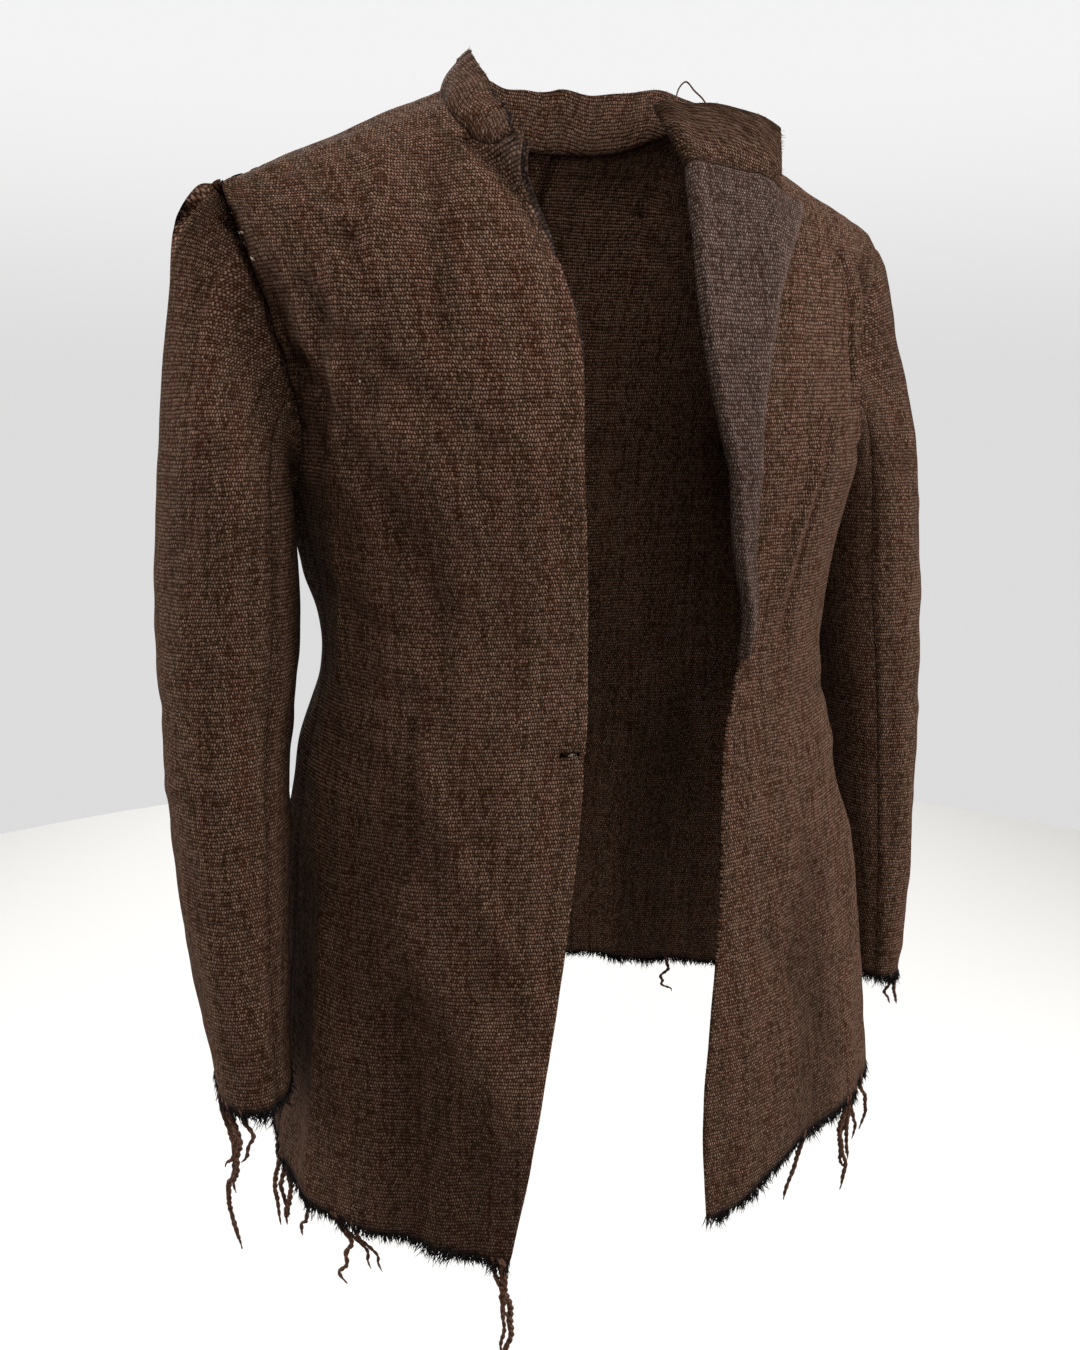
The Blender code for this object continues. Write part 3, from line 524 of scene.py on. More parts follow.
def cloth_wall(name, outer, inner, uv, raw=(), marks=None, slit=None):
    """Closed wall between two grids; raw sides get a bulging rim, sewn ones a nearly flat rim."""
    rows, columns = outer.shape[:2]
    count = rows * columns
    index = np.arange(count).reshape(rows, columns)
    quads = np.stack([index[:-1, :-1], index[:-1, 1:], index[1:, 1:], index[1:, :-1]], -1)
    walls = []
    if slit is not None:
        low, high, start, end = slit
        keep = np.ones(quads.shape[:2], bool)
        keep[low:high, start:end] = False
        quads = quads[keep]
        edge = round_block(index, *slit)
        following = np.roll(edge, -1)
        walls.append(np.stack([edge, following, following + count, edge + count], -1))
    quads = quads.reshape(-1, 4)
    rim = round_block(index, 0, rows - 1, 0, columns - 1)
    i, j = np.divmod(rim, columns)
    bulge = np.full(len(i), RIM_SEWN)
    on_side = {"low": i == 0, "high": i == rows - 1, "start": j == 0, "end": j == columns - 1}
    for side in raw:
        bulge[on_side[side]] = RIM_RAW
    inward = (np.clip(i, 1, rows - 2), np.clip(j, 1, columns - 2))
    outward = unit(outer[i, j] - outer[inward] + inner[i, j] - inner[inward])
    middle = (outer[i, j] + inner[i, j]) / 2 + outward * bulge[:, None]
    points = np.concatenate([outer.reshape(-1, 3), inner.reshape(-1, 3), middle])
    centre = 2 * count + np.arange(len(rim))
    after, after_centre = np.roll(rim, -1), np.roll(centre, -1)
    faces = np.concatenate([
        quads, quads[:, ::-1] + count, *walls,
        np.stack([after, rim, centre, after_centre], -1),
        np.stack([after_centre, centre, rim + count, after + count], -1),
    ])
    if volume_of(points, faces) < 0:
        faces = faces[:, ::-1]

    def on_all(values):
        return np.concatenate([values, values, values[rim]])

    all_marks = {word: on_all(values.reshape(-1)) for word, values in (marks or {}).items()}
    return new_mesh(name, points, faces, np.zeros(0, int), on_all(uv.reshape(-1, 2)), all_marks)


print("rim of a raw edge stands out", RIM_RAW, "m")

# %% [markdown]
# ## Fronts and backs
#
# A seam is a valley: both layers of cloth turn in and pull the surface down with them. Each panel is lowered
# beside its sewn edges, by the same amount on both sides of the seam, so that the two still meet. The centre
# back and the sides are hidden in the photograph, and they are finished in the same plain way.

# %% Body panels
SEAM_DEPTH = 1.3 * MM
SEAM_WIDTH = 4.0 * MM
HEM_SHADE = 4 * MM
TURNED_SHADE = 2.2


# axis across each side of a grid, the side's own line and the line beside it
SIDES = {"low": (0, 0, 1), "high": (0, -1, -2), "start": (1, 0, 1), "end": (1, -1, -2)}


def pulled(grid, sides):
    """Draw the sewn sides of a grid half a seam inward, so that two panels never touch."""
    result = grid.copy()
    for side in sides:
        axis, edge, beside = SIDES[side]
        inward = np.take(grid, beside, axis) - np.take(grid, edge, axis)
        np.moveaxis(result, axis, 0)[edge] += unit(inward) * SEAM / 2
    return result


def edge_lengths(base):
    """Length from each point of a grid to its four sides, measured along rows and columns."""
    across, along = length_along(base, axis=1), length_along(base, axis=0)
    return {"start": across, "end": across[:, -1:] - across, "low": along, "high": along[-1:] - along}


def valley(lengths, sides):
    """Depth of the seam valley: 1 on a sewn side, falling off like a bell."""
    nearest = np.minimum.reduce([lengths[side] for side in sides])
    return bell(nearest, SEAM_WIDTH)


def body_panel(name, sewn, raw):
    """Both faces of a panel: the form lowered at its seams, and the same moved in by the cloth."""
    surface, around, level = GRIDS[name]
    base, normal = surface(around, level), normals(surface, around, level)
    lengths = edge_lengths(base)
    sunk = valley(lengths, sewn)
    outer = base - normal * (SEAM_DEPTH * sunk)[..., None]
    inner = outer - normal * CLOTH
    # The seam mark paints shade into the seam valleys, and the fold mark paints shade into the depths of the
    # folds and creases.
    marks = {"seam": sunk, "hem": bell(lengths["low"], HEM_SHADE), "painted_shade": painted_shade(relief(around, level))}
    if name == "front_right":
        marks["turned"] = smooth(revers_turn(around, level) / REVERS_OUT * TURNED_SHADE)
    faces = pulled(outer, sewn), pulled(inner, sewn)
    slit = SLIT if name == "front_right" else None
    uv = cloth_place(around, level, GRAIN[name])
    PIECES[name] = cloth_wall(name + "_cloth", *faces, uv, raw, marks, slit)
    return faces


PANEL_SIDES = {"front": (("high", "end"), ("low", "start")), "back": (("high", "start", "end"), ("low",))}
FACES = {}
for part, (sewn, raw) in PANEL_SIDES.items():
    for word in ("right", "left"):
        name = f"{part}_{word}"
        FACES[name] = body_panel(name, sewn, raw)
print({name: len(piece.data.polygons) for name, piece in PIECES.items()})

# %% [markdown]
# ## The facing behind the right edge
#
# A second layer shows behind the right front's edge as a dark slit with another edge beside it. It is cut on
# the same places of the form, one layer further in, and at the neck it gapes a little, as a facing that
# isn't pressed.

# %% Right facing
LAYER = 0.4 * MM
FACING_WIDTH = 0.25
FACING_FROM, FACING_TO = 0.045, 0.795
# The facing gapes and peeks out above this level; each has its run up the edge and its reach from the edge.
GAPE_LEVEL = 0.95
GAPE, GAPE_RUN, GAPE_REACH = 2.2 * MM, 0.35, 9 * MM
PEEK, PEEK_RUN, PEEK_REACH = 3.2 * MM, 0.3, 14 * MM
PEEK_LEAST, PEEK_UNEVEN, PEEK_WAVE = 0.12, 0.2, 37
FACING_COLUMNS = 22
FACING_SHADE = 8 * MM
FACING_GRAIN = (0.0007, 0.0011)


def facing():
    """The front's own points behind its inner quarter, moved in by two layers and a small gape."""
    rows = FRONT_ROWS[(FRONT_ROWS > FACING_FROM) & (FRONT_ROWS < FACING_TO)]
    around, level = body_grid(*FRONT_CUT[-1], rows, np.linspace(0, FACING_WIDTH, FACING_COLUMNS))
    base, normal = right_form(around, level), normals(right_form, around, level)
    lengths = edge_lengths(base)
    gape = GAPE * smooth((level - GAPE_LEVEL) / GAPE_RUN) * np.exp(-lengths["start"] / GAPE_REACH)
    behind = (CLOTH + LAYER + gape)[..., None]
    uneven = 1 - PEEK_UNEVEN + PEEK_UNEVEN * np.sin(level * PEEK_WAVE)
    peek = PEEK * (smooth((level - GAPE_LEVEL) / PEEK_RUN) * uneven + PEEK_LEAST)
    shift = unit(base[:, :1] - base[:, 1:2]) * (peek * np.exp(-lengths["start"] / PEEK_REACH))[..., None]
    outer = base - normal * behind + shift
    inner = outer - normal * CLOTH
    uv = cloth_place(around, level, GRAIN["front_right"]) + FACING_GRAIN
    # Painted shade darkens the facing towards its edge, so the slit behind the front's edge looks dark.
    shade = bell(lengths["start"], FACING_SHADE)
    marks = {"painted_shade": 0.9 * shade, "hem": 0.6 * shade}
    PIECES["facing_right"] = cloth_wall("facing_right_cloth", outer, inner, uv, tuple(SIDES), marks)
    return outer, inner


FACING_FACES = facing()
print("facing", FACING_FACES[0].shape)

# %% [markdown]
# ## The long left lapel
#
# The left front is turned back all the way up. Its section starts under the front's edge, goes half round a
# small roll, then lies back over the front, a little raised in the middle. The roll isn't pressed, so it
# stays round.

# %% Left lapel
# level, around at its outer edge, lift at the middle and at the edge in mm
LAPEL = np.array([
    (0.72, 0.203, 4, 3), (0.79, 0.221, 4, 4), (0.91, 0.163, 4, 4.5), (1.01, 0.133, 4, 5),
    (1.19, 0.146, 3.5, 5.5), (1.33, 0.183, 3.5, 6), (1.43, 0.216, 4, 7), (1.55, 0.253, 4.5, 8),
])
ROLL_RADIUS = 3 * MM
LAPEL_FROM = 0.372
ARC_STEPS = 9
LAPEL_COLUMNS = 34
LAPEL_WAVE, LAPEL_WAVES = 0.7 * MM, 23
FOLD_STEP = 0.02
# From this level on the lapel's top sags, and most at this share of its width.
LAPEL_SAG, SAG_LEVEL, SAG_RUN, SAG_MOST = 0.026, 1.40, 0.15, 0.8
LAPEL_GRAIN = 0.004
PALE_EDGE_RUN = 3 * MM


def lapel():
    """Half a turn round the front's edge, then a line over the front whose lift follows a bent curve."""
    rows = FRONT_ROWS[(FRONT_ROWS > LAPEL_FROM) & (FRONT_ROWS <= NECK_START)]
    around, level = body_grid(*FRONT_CUT[1], rows, np.array([0.0]))
    roll, level = around[:, 0], level[:, 0]
    rim, normal = form(roll, level), normals(form, roll, level)
    toward = unit(form(roll - FOLD_STEP, level) - rim)
    toward = unit(toward - normal * np.sum(toward * normal, -1, keepdims=True))
    turn = (-np.pi / 2 + np.pi * np.arange(ARC_STEPS) / ARC_STEPS)[None, :, None]
    ray = toward[:, None] * np.cos(turn) + normal[:, None] * np.sin(turn)
    centre = (rim + normal * ROLL_RADIUS + toward * SEAM)[:, None]
    share = np.linspace(0.0, 1.0, LAPEL_COLUMNS)[None, :]
    over = roll[:, None] + (curve(LAPEL, 1, level) - roll)[:, None] * share
    sag = LAPEL_SAG * smooth((level - SAG_LEVEL) / SAG_RUN)[:, None]
    sag = sag * np.sin(np.pi * np.minimum(share, SAG_MOST) / (2 * SAG_MOST))
    flat_level = level[:, None] - sag * (1 - 0.5 * smooth((share - SAG_MOST) / (1 - SAG_MOST)))
    here, out = form(over, flat_level), normals(bare_form, over, flat_level)
    middle, last = (curve(LAPEL, k, level)[:, None] * MM for k in (2, 3))
    lift = 2 * ROLL_RADIUS * (1 - share) ** 2 + 2 * middle * share * (1 - share) + last * share**2
    lift = lift + LAPEL_WAVE * np.sin(level * LAPEL_WAVES)[:, None] * share**3
    here = here + toward[:, None] * SEAM * (1 - share)[..., None]
    hidden, shown = (
        np.concatenate([centre + ray * (ROLL_RADIUS + thick), here + out * (lift + thick)[..., None]], 1)
        for thick in (0.0, CLOTH)
    )
    lengths = edge_lengths(shown)
    up = cloth_place(roll, level, GRAIN["front_left"])[:, 1]
    uv = np.stack([LAPEL_GRAIN - lengths["start"], np.broadcast_to(up[:, None], lengths["start"].shape)], -1)
    # The lapel is painted paler towards its outer edge, over a few millimetres.
    marks = {"pale_edge": np.exp(-lengths["end"] / PALE_EDGE_RUN)}
    PIECES["lapel_left"] = cloth_wall("lapel_left_cloth", shown, hidden, uv, ("low", "end"), marks)
    return shown, hidden


LAPEL_FACES = lapel()
print("lapel length", round(float(edge_lengths(LAPEL_FACES[0])["low"][-1].max()), 3), "m")

# %% [markdown]
# ## Two-piece sleeves
#
# A tailored sleeve has a top piece and a narrow under piece. Both are cut out of one bent tube that leaves
# the armhole seam outward and comes down to the cuff. At the crown more cloth is sewn in than the armhole is
# long, so it stands up in small gathers. The right crown is fuller in front, with three short creases, and
# the left is flat.

# %% Sleeve tables
CROWN_END = 0.30
SLEEVE_SQUARE = 0.92
CROWN_REACH = 86 * MM
UNDER_REACH = 0.35
LEAVE_OUT, LEAVE_APART, LEAVE_UNDER, LEAVE_DROP = 0.9, 0.12, 0.06, 0.09
RING_STEP = 0.01
# place down the sleeve, centre x y z, half width, half depth, rise of the outer side, in mm
SLEEVE_LEFT = np.array([
    (0.3, 242, 18, -262, 41, 64, 0.45), (0.44, 250, 17, -335, 45.5, 62, 0.12),
    (0.58, 256, 10, -415, 41, 59, 0.04), (0.72, 260, 4, -498, 37, 56, 0.02),
    (0.86, 263, -3, -582, 31.5, 51, 0), (1, 262, -10, -662, 24.5, 46, -0.04),
])
SLEEVE_RIGHT = np.array([
    (0.3, 244, -4, -262, 41, 64, 0.45), (0.44, 248, 4, -335, 45.5, 62, 0.12),
    (0.58, 254, 0, -412, 41, 59, 0.04), (0.72, 257, -12, -490, 37, 56, 0.02),
    (0.86, 258, -26, -570, 31.5, 51, 0), (1, 256, -38, -640, 24.5, 46, -0.04),
])
ARM_GIRTH = 0.34
ARM_LENGTH = 0.62
# turn and place of both ends, half width and height in mm
SLEEVE_CREASES = {
    "right": np.array([
        (0.3, 0.24, 0.42, 0.4, 9, -1.8), (0.44, 0.52, 0.62, 0.57, 8, -1.6), (0.3, 0.6, 0.5, 0.63, 7, 1.4),
        (0.52, 0.66, 0.7, 0.62, 7, -1.5), (0.24, 0.68, 0.4, 0.72, 8, -1.2), (0.42, 0.84, 0.56, 0.95, 9, -1.4),
        (0.6, 0.8, 0.64, 0.97, 8, 1.3), (0.36, 0.36, 0.36, 0.5, 10, 1.2), (0.72, 0.4, 0.8, 0.6, 9, -1.6),
        (0.415, 0.036, 0.384, 0.004, 3.2, -3.6), (0.4, 0.045, 0.372, 0.012, 3.5, 2.2),
        (0.452, 0.05, 0.455, 0.01, 4, 2), (0.2, 0.5, 0.24, 0.76, 10, -1.3), (0.86, 0.46, 0.96, 0.56, 7, 1.2),
        (0.98, 0.64, 1.1, 0.58, 7, -1.2),
    ]),
    "left": np.array([
        (0.28, 0.26, 0.4, 0.44, 9, -1.7), (0.4, 0.5, 0.6, 0.54, 7, -1.5), (0.28, 0.62, 0.48, 0.6, 8, 1.3),
        (0.54, 0.68, 0.72, 0.66, 7, -1.4), (0.3, 0.78, 0.34, 0.96, 9, 1.5), (0.44, 0.86, 0.58, 0.93, 8, -1.3),
        (0.62, 0.76, 0.66, 0.95, 9, 1.2), (0.38, 0.34, 0.39, 0.48, 11, 1.2), (0.7, 0.36, 0.8, 0.56, 9, -1.6),
        (0.22, 0.52, 0.22, 0.8, 10, -1.5), (0.88, 0.5, 0.98, 0.6, 7, 1.3), (0.96, 0.68, 1.08, 0.62, 7, -1.1),
    ]),
}
GATHER_DEPTH = 0.9 * MM
GATHERS, GATHERS_UNEVEN, GATHERS_WAVE = 21, 0.4, 31
# turns to either side of the shoulder that are gathered; places where the gathers begin and have faded
GATHERED_TURN, GATHERS_BEGIN, GATHERS_FADE = 0.2, 0.02, 0.055
UNEVEN_FROM = 0.05
# height in mm, turn and how far round it reaches, place and how far down, and the place where it has risen
SWELLS = {
    "right": ((9.0, 0.34, 0.15, 0.0, 0.13, 0.035), (5.5, 0.47, 0.10, 0.075, 0.05, 0.03)),
    "left": ((-6.0, 0.42, 0.12, 0.13, 0.08, 0.03),),
}
SLEEVE_SEED = {"right": 9, "left": 13}
print("sleeve length", ARM_LENGTH, "m")

# %% Sleeve surface
def armhole_point(side, turn):
    """Point of the armhole seam: turn 0 is under the arm, a quarter in front and a half at the shoulder."""
    turn = np.mod(turn, 1.0)
    ahead = turn <= 0.5
    t = SIDE_END + (1 - SIDE_END) * 2 * np.where(ahead, turn, 1 - turn)
    front, back = HOLE_FRONT[side], HOLE_BACK[side]
    around, level = (np.where(ahead, curve(front, k, t), curve(back, k, t)) for k in (1, 2))
    return form(side * around, level), normals(bare_form, side * around, level)


def sleeve_ring(table, turn, place):
    """Rounded-square ring round the sleeve's centre line, its outer side raised."""
    angle = 2 * np.pi * turn
    across = -power(np.cos(angle), SLEEVE_SQUARE)
    x, y, z, width, depth, rise = (curve(table, k, place) for k in range(1, 7))
    y = y - depth * power(np.sin(angle), SLEEVE_SQUARE)
    return np.stack([x + width * across, y, z + rise * width * across], -1) * MM


def bare_sleeve(side, table, turn, place):
    """Cubic from the armhole to the first ring, then ring after ring to the cuff."""
    mirror = np.array([side, 1.0, 1.0])
    start = armhole_point(side, turn)[0] * mirror
    angle = 2 * np.pi * turn
    leave = np.stack([
        LEAVE_OUT + 0 * angle,
        -LEAVE_APART * np.sin(angle),
        LEAVE_UNDER - LEAVE_DROP * (1 - np.cos(angle)),
    ], -1)
    share = UNDER_REACH + (1 - UNDER_REACH) * np.sin(angle / 2) ** 2
    leave = unit(leave) * CROWN_REACH * share[..., None]
    end = sleeve_ring(table, turn, np.full(turn.shape, CROWN_END))
    after = sleeve_ring(table, turn, np.full(turn.shape, CROWN_END + RING_STEP))
    arrive = (after - end) / RING_STEP * CROWN_END
    t = (place / CROWN_END)[..., None]
    crown = cubic(t, start, leave, end, arrive)
    return np.where(t < 1, crown, sleeve_ring(table, turn, place)) * mirror


def sleeve_relief(word, turn, place):
    """Creases of the sleeve, gathers and swells that fade down from the crown, and the cloth's unevenness."""
    out = ridges(SLEEVE_CREASES[word], turn, place, ARM_GIRTH, ARM_LENGTH)
    top = bell(np.mod(turn, 1.0) - 0.5, GATHERED_TURN)
    fade = smooth(place / GATHERS_BEGIN) * bell(place, GATHERS_FADE)
    uneven = 1 + GATHERS_UNEVEN * np.sin(turn * GATHERS_WAVE + 1)
    out = out + GATHER_DEPTH * np.cos(2 * np.pi * GATHERS * turn) * top * fade * uneven
    for height, at_turn, turn_run, at_place, place_run, risen in SWELLS[word]:
        swell = bell(turn - at_turn, turn_run) * bell(place - at_place, place_run) * smooth(place / risen)
        out = out + height * MM * swell
    rough = crinkle(turn * ARM_GIRTH, place * ARM_LENGTH, SLEEVE_SEED[word])
    return out + rough * smooth(place / UNEVEN_FROM)


print(GATHERS, "gathers round each crown")

# %% [markdown]
# The two pieces of a sleeve meet in a seam that runs down the front of the arm, where the photograph shows a
# raised line. Both are cut from the same surface between two turns, with the same valley along the seam.

# %% Sleeve pieces
FRONT_SEAM = 0.178
BACK_SEAM = 0.763
# turn and reach round of the strip of painted shade on the arm's inner side
SHADED_TURN, SHADED_RUN = 0.03, 0.11
# place where the long seams' valleys begin and how fast they deepen, and the same for the strip of painted
# shade
VALLEY_FROM, VALLEY_RUN = 0.08, 0.14
SHADED_FROM, SHADED_GROWS = 0.12, 0.2
CROWN_ROWS, ARM_ROWS = 62, 140
SLEEVE_ROWS = np.concatenate([
    np.linspace(0, CROWN_END, CROWN_ROWS)[:-1], np.linspace(CROWN_END, 1, ARM_ROWS),
])


def inner_arm_shade(turn, place):
    """Painted shade on the strip of the arm that faces the body: 1 on the inner side of the arm, below the
    armhole.
    """
    away = np.mod(turn + 0.5, 1.0) - 0.5
    return bell(away - SHADED_TURN, SHADED_RUN) * smooth((place - SHADED_FROM) / SHADED_GROWS)


def sleeve_piece(name, word, side, table, first, last, columns):
    """Both faces of a sleeve piece between two turns of the sleeve's tube."""
    turn, place = np.broadcast_arrays(np.linspace(first, last, columns)[None, :], SLEEVE_ROWS[:, None])

    def surface(p, q):
        return bare_sleeve(side, table, p, q)

    base = surface(turn, place)
    normal = normals(surface, turn, place) * -side
    lengths = edge_lengths(base)
    seams = valley(lengths, ("start", "end")) * smooth((place - VALLEY_FROM) / VALLEY_RUN)
    hole = bell(lengths["low"], SEAM_WIDTH)
    body_normal = armhole_point(side, turn)[1]
    height = sleeve_relief(word, turn, place) * (1 - seams)
    outer = base + normal * (height - SEAM_DEPTH * seams * (1 - hole))[..., None]
    outer = outer - body_normal * (SEAM_DEPTH * hole)[..., None]
    inner = outer - normal * CLOTH
    sewn = ("low", "start", "end")
    faces = pulled(outer, sewn), pulled(inner, sewn)
    from_middle = lengths["start"] - lengths["start"][:, columns // 2, None]
    ring = int(np.argmax(SLEEVE_ROWS >= CROWN_END))
    from_middle = np.where(place < CROWN_END, from_middle[ring], from_middle)
    uv = np.stack([from_middle, lengths["high"]], -1)
    # Painted shade along the long seams and the armhole seam, in the depths of creases and gathers, and on
    # the arm's inner strip.
    marks = {
        "seam": np.maximum(seams * 0.6, hole * 0.5),
        "painted_shade": np.maximum(painted_shade(height), inner_arm_shade(turn, place)),
        "hem": bell(lengths["high"], HEM_SHADE),
    }
    PIECES[name] = cloth_wall(name + "_cloth", *faces, uv, ("high",), marks)
    return faces


SLEEVE_CUTS = (("top", FRONT_SEAM, BACK_SEAM, 80), ("under", BACK_SEAM - 1, FRONT_SEAM, 48))
SLEEVES = {}
for word, side, table in (("right", -1, SLEEVE_RIGHT), ("left", 1, SLEEVE_LEFT)):
    for part, first, last, columns in SLEEVE_CUTS:
        name = f"{part}_sleeve_{word}"
        SLEEVES[name] = sleeve_piece(name, word, side, table, first, last, columns)
print({name: pair[0].shape for name, pair in SLEEVES.items()})

# %% [markdown]
# ## The stand collar
#
# The collar is one raw-edged band. It stands upright round the neck, turns over with the left lapel and runs
# on along the lapel's top edge. Its path is read off the necklines that are already there, so it fits them,
# and a table says how far its top edge has leaned away from its seam.

# %% Collar
# how far along it, then the way from its seam to its top edge in mm
COLLAR_TOP = np.array([
    (0, 0, 3, 5), (0.03, 13, 3, 15), (0.06, 22, 5, 17), (0.1, 26, 4, 15), (0.13, 25, 4, 18),
    (0.16, 21, 3, 21), (0.185, 21, 2, 25), (0.205, 20, 1, 28), (0.23, 17, 1, 29), (0.26, 10, 1, 31),
    (0.33, 6, 2, 36), (0.44, 0, 0, 39), (0.55, 12, 6, 35), (0.64, 32, 5, 2), (0.74, 22, 17, 2),
    (0.8, -6, 20, 26), (0.86, -14, 24, 37), (0.92, -8, 18, 38), (1, 6, 12, 38),
])
COLLAR_START = 0.35
COLLAR_INWARD = 0.2
COLLAR_ON_LAPEL = 0.78
COLLAR_POINTS = 190
COLLAR_HEIGHTS = np.linspace(0.06, 1.0, 18)
# The torn top edge wavers by this share of the collar's height.
COLLAR_TEAR = 0.02768
COLLAR_RUN, COLLAR_RISE = 0.48, 0.04
COLLAR_SMOOTH_TO = 0.4
COLLAR_SEED = 21
COLLAR_BIAS = math.radians(5)
COLLAR_SHADE = 0.28
TORN_DARK = 1.6 * MM


def neckline():
    """The collar's seam: right front, right back, left back, left front, then over the lapel's top."""
    start = int(np.argmax(FRONT_ROWS >= NECK_START))
    start_back = int(np.argmax(BACK_ROWS >= NECK_START))
    shown, hidden = LAPEL_FACES
    reach = int(COLLAR_ON_LAPEL * shown.shape[1])
    route = []
    for layer in (0, 1):
        turned = hidden if layer == 0 else shown
        route.append(np.concatenate([
            FACES["front_right"][layer][start + 5:-1, 0], FACES["back_right"][layer][:start_back - 1:-1, 0],
            FACES["back_left"][layer][start_back + 1:, 0], FACES["front_left"][layer][-2:start - 1:-1, 0],
            turned[-1, 1:reach],
        ]))
    on_lapel = (np.arange(len(route[0])) >= len(route[0]) - reach + 1).astype(float)[:, None]
    along = length_along(route[0])
    even = np.linspace(0, along[-1], COLLAR_POINTS)
    return [read_at(even, along, values) for values in (*route, on_lapel)]


def collar():
    """Bent curve from the seam to the top edge: upright at first, then along its own lean."""
    outer, inner, on_lapel = neckline()
    into = unit(np.cross(np.gradient(outer, axis=0), outer - inner))
    for _ in range(3):
        into = unit(np.concatenate([into[:1], (into[:-2] + into[1:-1] + into[2:]) / 3, into[-1:]]))
    along = np.linspace(0, 1, COLLAR_POINTS)
    top = np.stack([curve(COLLAR_TOP, k, along) for k in (1, 2, 3)], -1) * MM
    top = top * (1 + COLLAR_TEAR * (np.sin(along * 61) + 0.7 * np.sin(along * 113 + 2)))[:, None]
    base = (outer + inner) / 2 + into * (1.5 * SEAM + np.where(on_lapel > 0.5, 0.0, CLOTH / 2))
    reach = COLLAR_START * np.linalg.norm(top, axis=1, keepdims=True)
    upright = np.array([0.0, 0.0, 1.0]) + into * COLLAR_INWARD
    start = unit(into * on_lapel + upright * (1 - on_lapel)) * reach
    h = COLLAR_HEIGHTS[:, None, None]
    centre = base + 2 * h * (1 - h) * start + h * h * top
    ripple = crinkle(along[None, :] * COLLAR_RUN, COLLAR_HEIGHTS[:, None] * COLLAR_RISE, COLLAR_SEED)
    ripple = ripple * smooth(COLLAR_HEIGHTS / COLLAR_SMOOTH_TO)[:, None]
    whole = np.concatenate([base[None], centre])
    normal = unit(np.cross(np.gradient(whole, axis=1), np.gradient(whole, axis=0)))[1:]
    centre = centre + normal * ripple[..., None]
    out_face = np.concatenate([(outer + into * SEAM)[None], centre - normal * CLOTH / 2])
    in_face = np.concatenate([(inner + into * SEAM)[None], centre + normal * CLOTH / 2])
    lengths = edge_lengths((out_face + in_face) / 2)
    # Painted shade darkens the whole collar a little and along its seam, and fully near its torn edges.
    torn = bell(np.minimum(lengths["start"], lengths["high"]), TORN_DARK)
    marks = {"seam": bell(lengths["low"], SEAM_WIDTH), "painted_shade": COLLAR_SHADE + (1 - COLLAR_SHADE) * torn}
    u, v = lengths["start"], -lengths["high"]
    sine, cosine = math.sin(COLLAR_BIAS), math.cos(COLLAR_BIAS)
    uv = np.stack([u * cosine - v * sine, u * sine + v * cosine], -1)
    PIECES["collar"] = cloth_wall("collar_cloth", out_face, in_face, uv, ("high", "start", "end"), marks)
    return out_face, in_face


COLLAR_FACES = collar()
print("collar length", round(float(edge_lengths(COLLAR_FACES[0])["start"][0, -1]), 3), "m")

# %% [markdown]
# ## Does the fine cloth still stand where its solid stands?
#
# Every fine piece is measured against the solid it replaces: how far its points lie from the solid's
# surface. A few millimetres come from creases. The armholes, the lapel and the left shoulder follow the
# photograph more closely than their solids do, so there it is up to about 30 mm. More would mean a formula
# has gone astray.

# %% Fit against the solids
def fit(name, piece):
    """Largest distance from every fortieth point of a piece to its solid's surface."""
    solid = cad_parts[name].data
    tree = BVHTree.FromPolygons([v.co for v in solid.vertices], [p.vertices[:] for p in solid.polygons])
    return max(tree.find_nearest(v.co)[3] for v in list(piece.data.vertices)[::40])


for name, piece in PIECES.items():
    triangles = 2 * len(piece.data.polygons)
    print(f"{name:20s} {fit(name, piece) / MM:5.1f} mm from its solid, {triangles} triangles")

# %% [markdown]
# ## Frayed ends
#
# At a raw edge the cross threads slip off and the ends of the black warp stay, some 5 to 13 mm long.
# Thousands of them make a soft black line under the hem. Particle hair could do it, but plain three-sided
# blades, bent once and joined into one mesh, are light, ride with the cloth and look the same in every
# program.

# %% Blades
# the two rings of a blade: shares of its length and of its bend, and the ring's radius over the blade's width
BLADE_RINGS = ((0.0, 0.0, 0.5), (0.55, 0.30, 0.40))
ROOT_INSET = (0.2, 1.2)
CLUMP_RUN, CLUMP_DRIFT = 7 * MM, 23 * MM
BLADE_BEND = 0.8


def blades(roots, ways, bends, lengths, widths, uv_scale=1.0):
    """Bent three-sided blades: a ring at the root, one half-way and a tip; root + way t + bend t^2."""
    count = len(roots)
    side = unit(np.cross(ways, bends + np.array([0.013, 0.029, 0.011])))
    other = unit(np.cross(ways, side))
    angle = np.arange(3) * 2 * np.pi / 3
    ring = side[:, None] * np.cos(angle)[None, :, None] + other[:, None] * np.sin(angle)[None, :, None]
    rings = []
    for straight, bent, thick in BLADE_RINGS:
        middle = roots + ways * (lengths * straight)[:, None] + bends * (lengths * bent)[:, None]
        rings.append(middle[:, None] + ring * (widths * thick)[:, None, None])
    tip = roots + (ways + bends) * lengths[:, None]
    points = np.concatenate([*rings, tip[:, None]], 1).reshape(-1, 3)
    first = 7 * np.arange(count)[:, None]
    quads = [first + [k, (k + 1) % 3, 3 + (k + 1) % 3, 3 + k] for k in range(3)]
    tips = [first + [3 + k, 3 + (k + 1) % 3, 6] for k in range(3)]
    tips.append(first + [0, 2, 1])
    u, v = np.repeat(np.arange(count) * 0.37 % 1.0, 7), np.tile([0, 0, 0, 0.5, 0.5, 0.5, 1.0], count)
    return points, np.concatenate(quads), np.concatenate(tips), np.stack([u, v], -1) * uv_scale


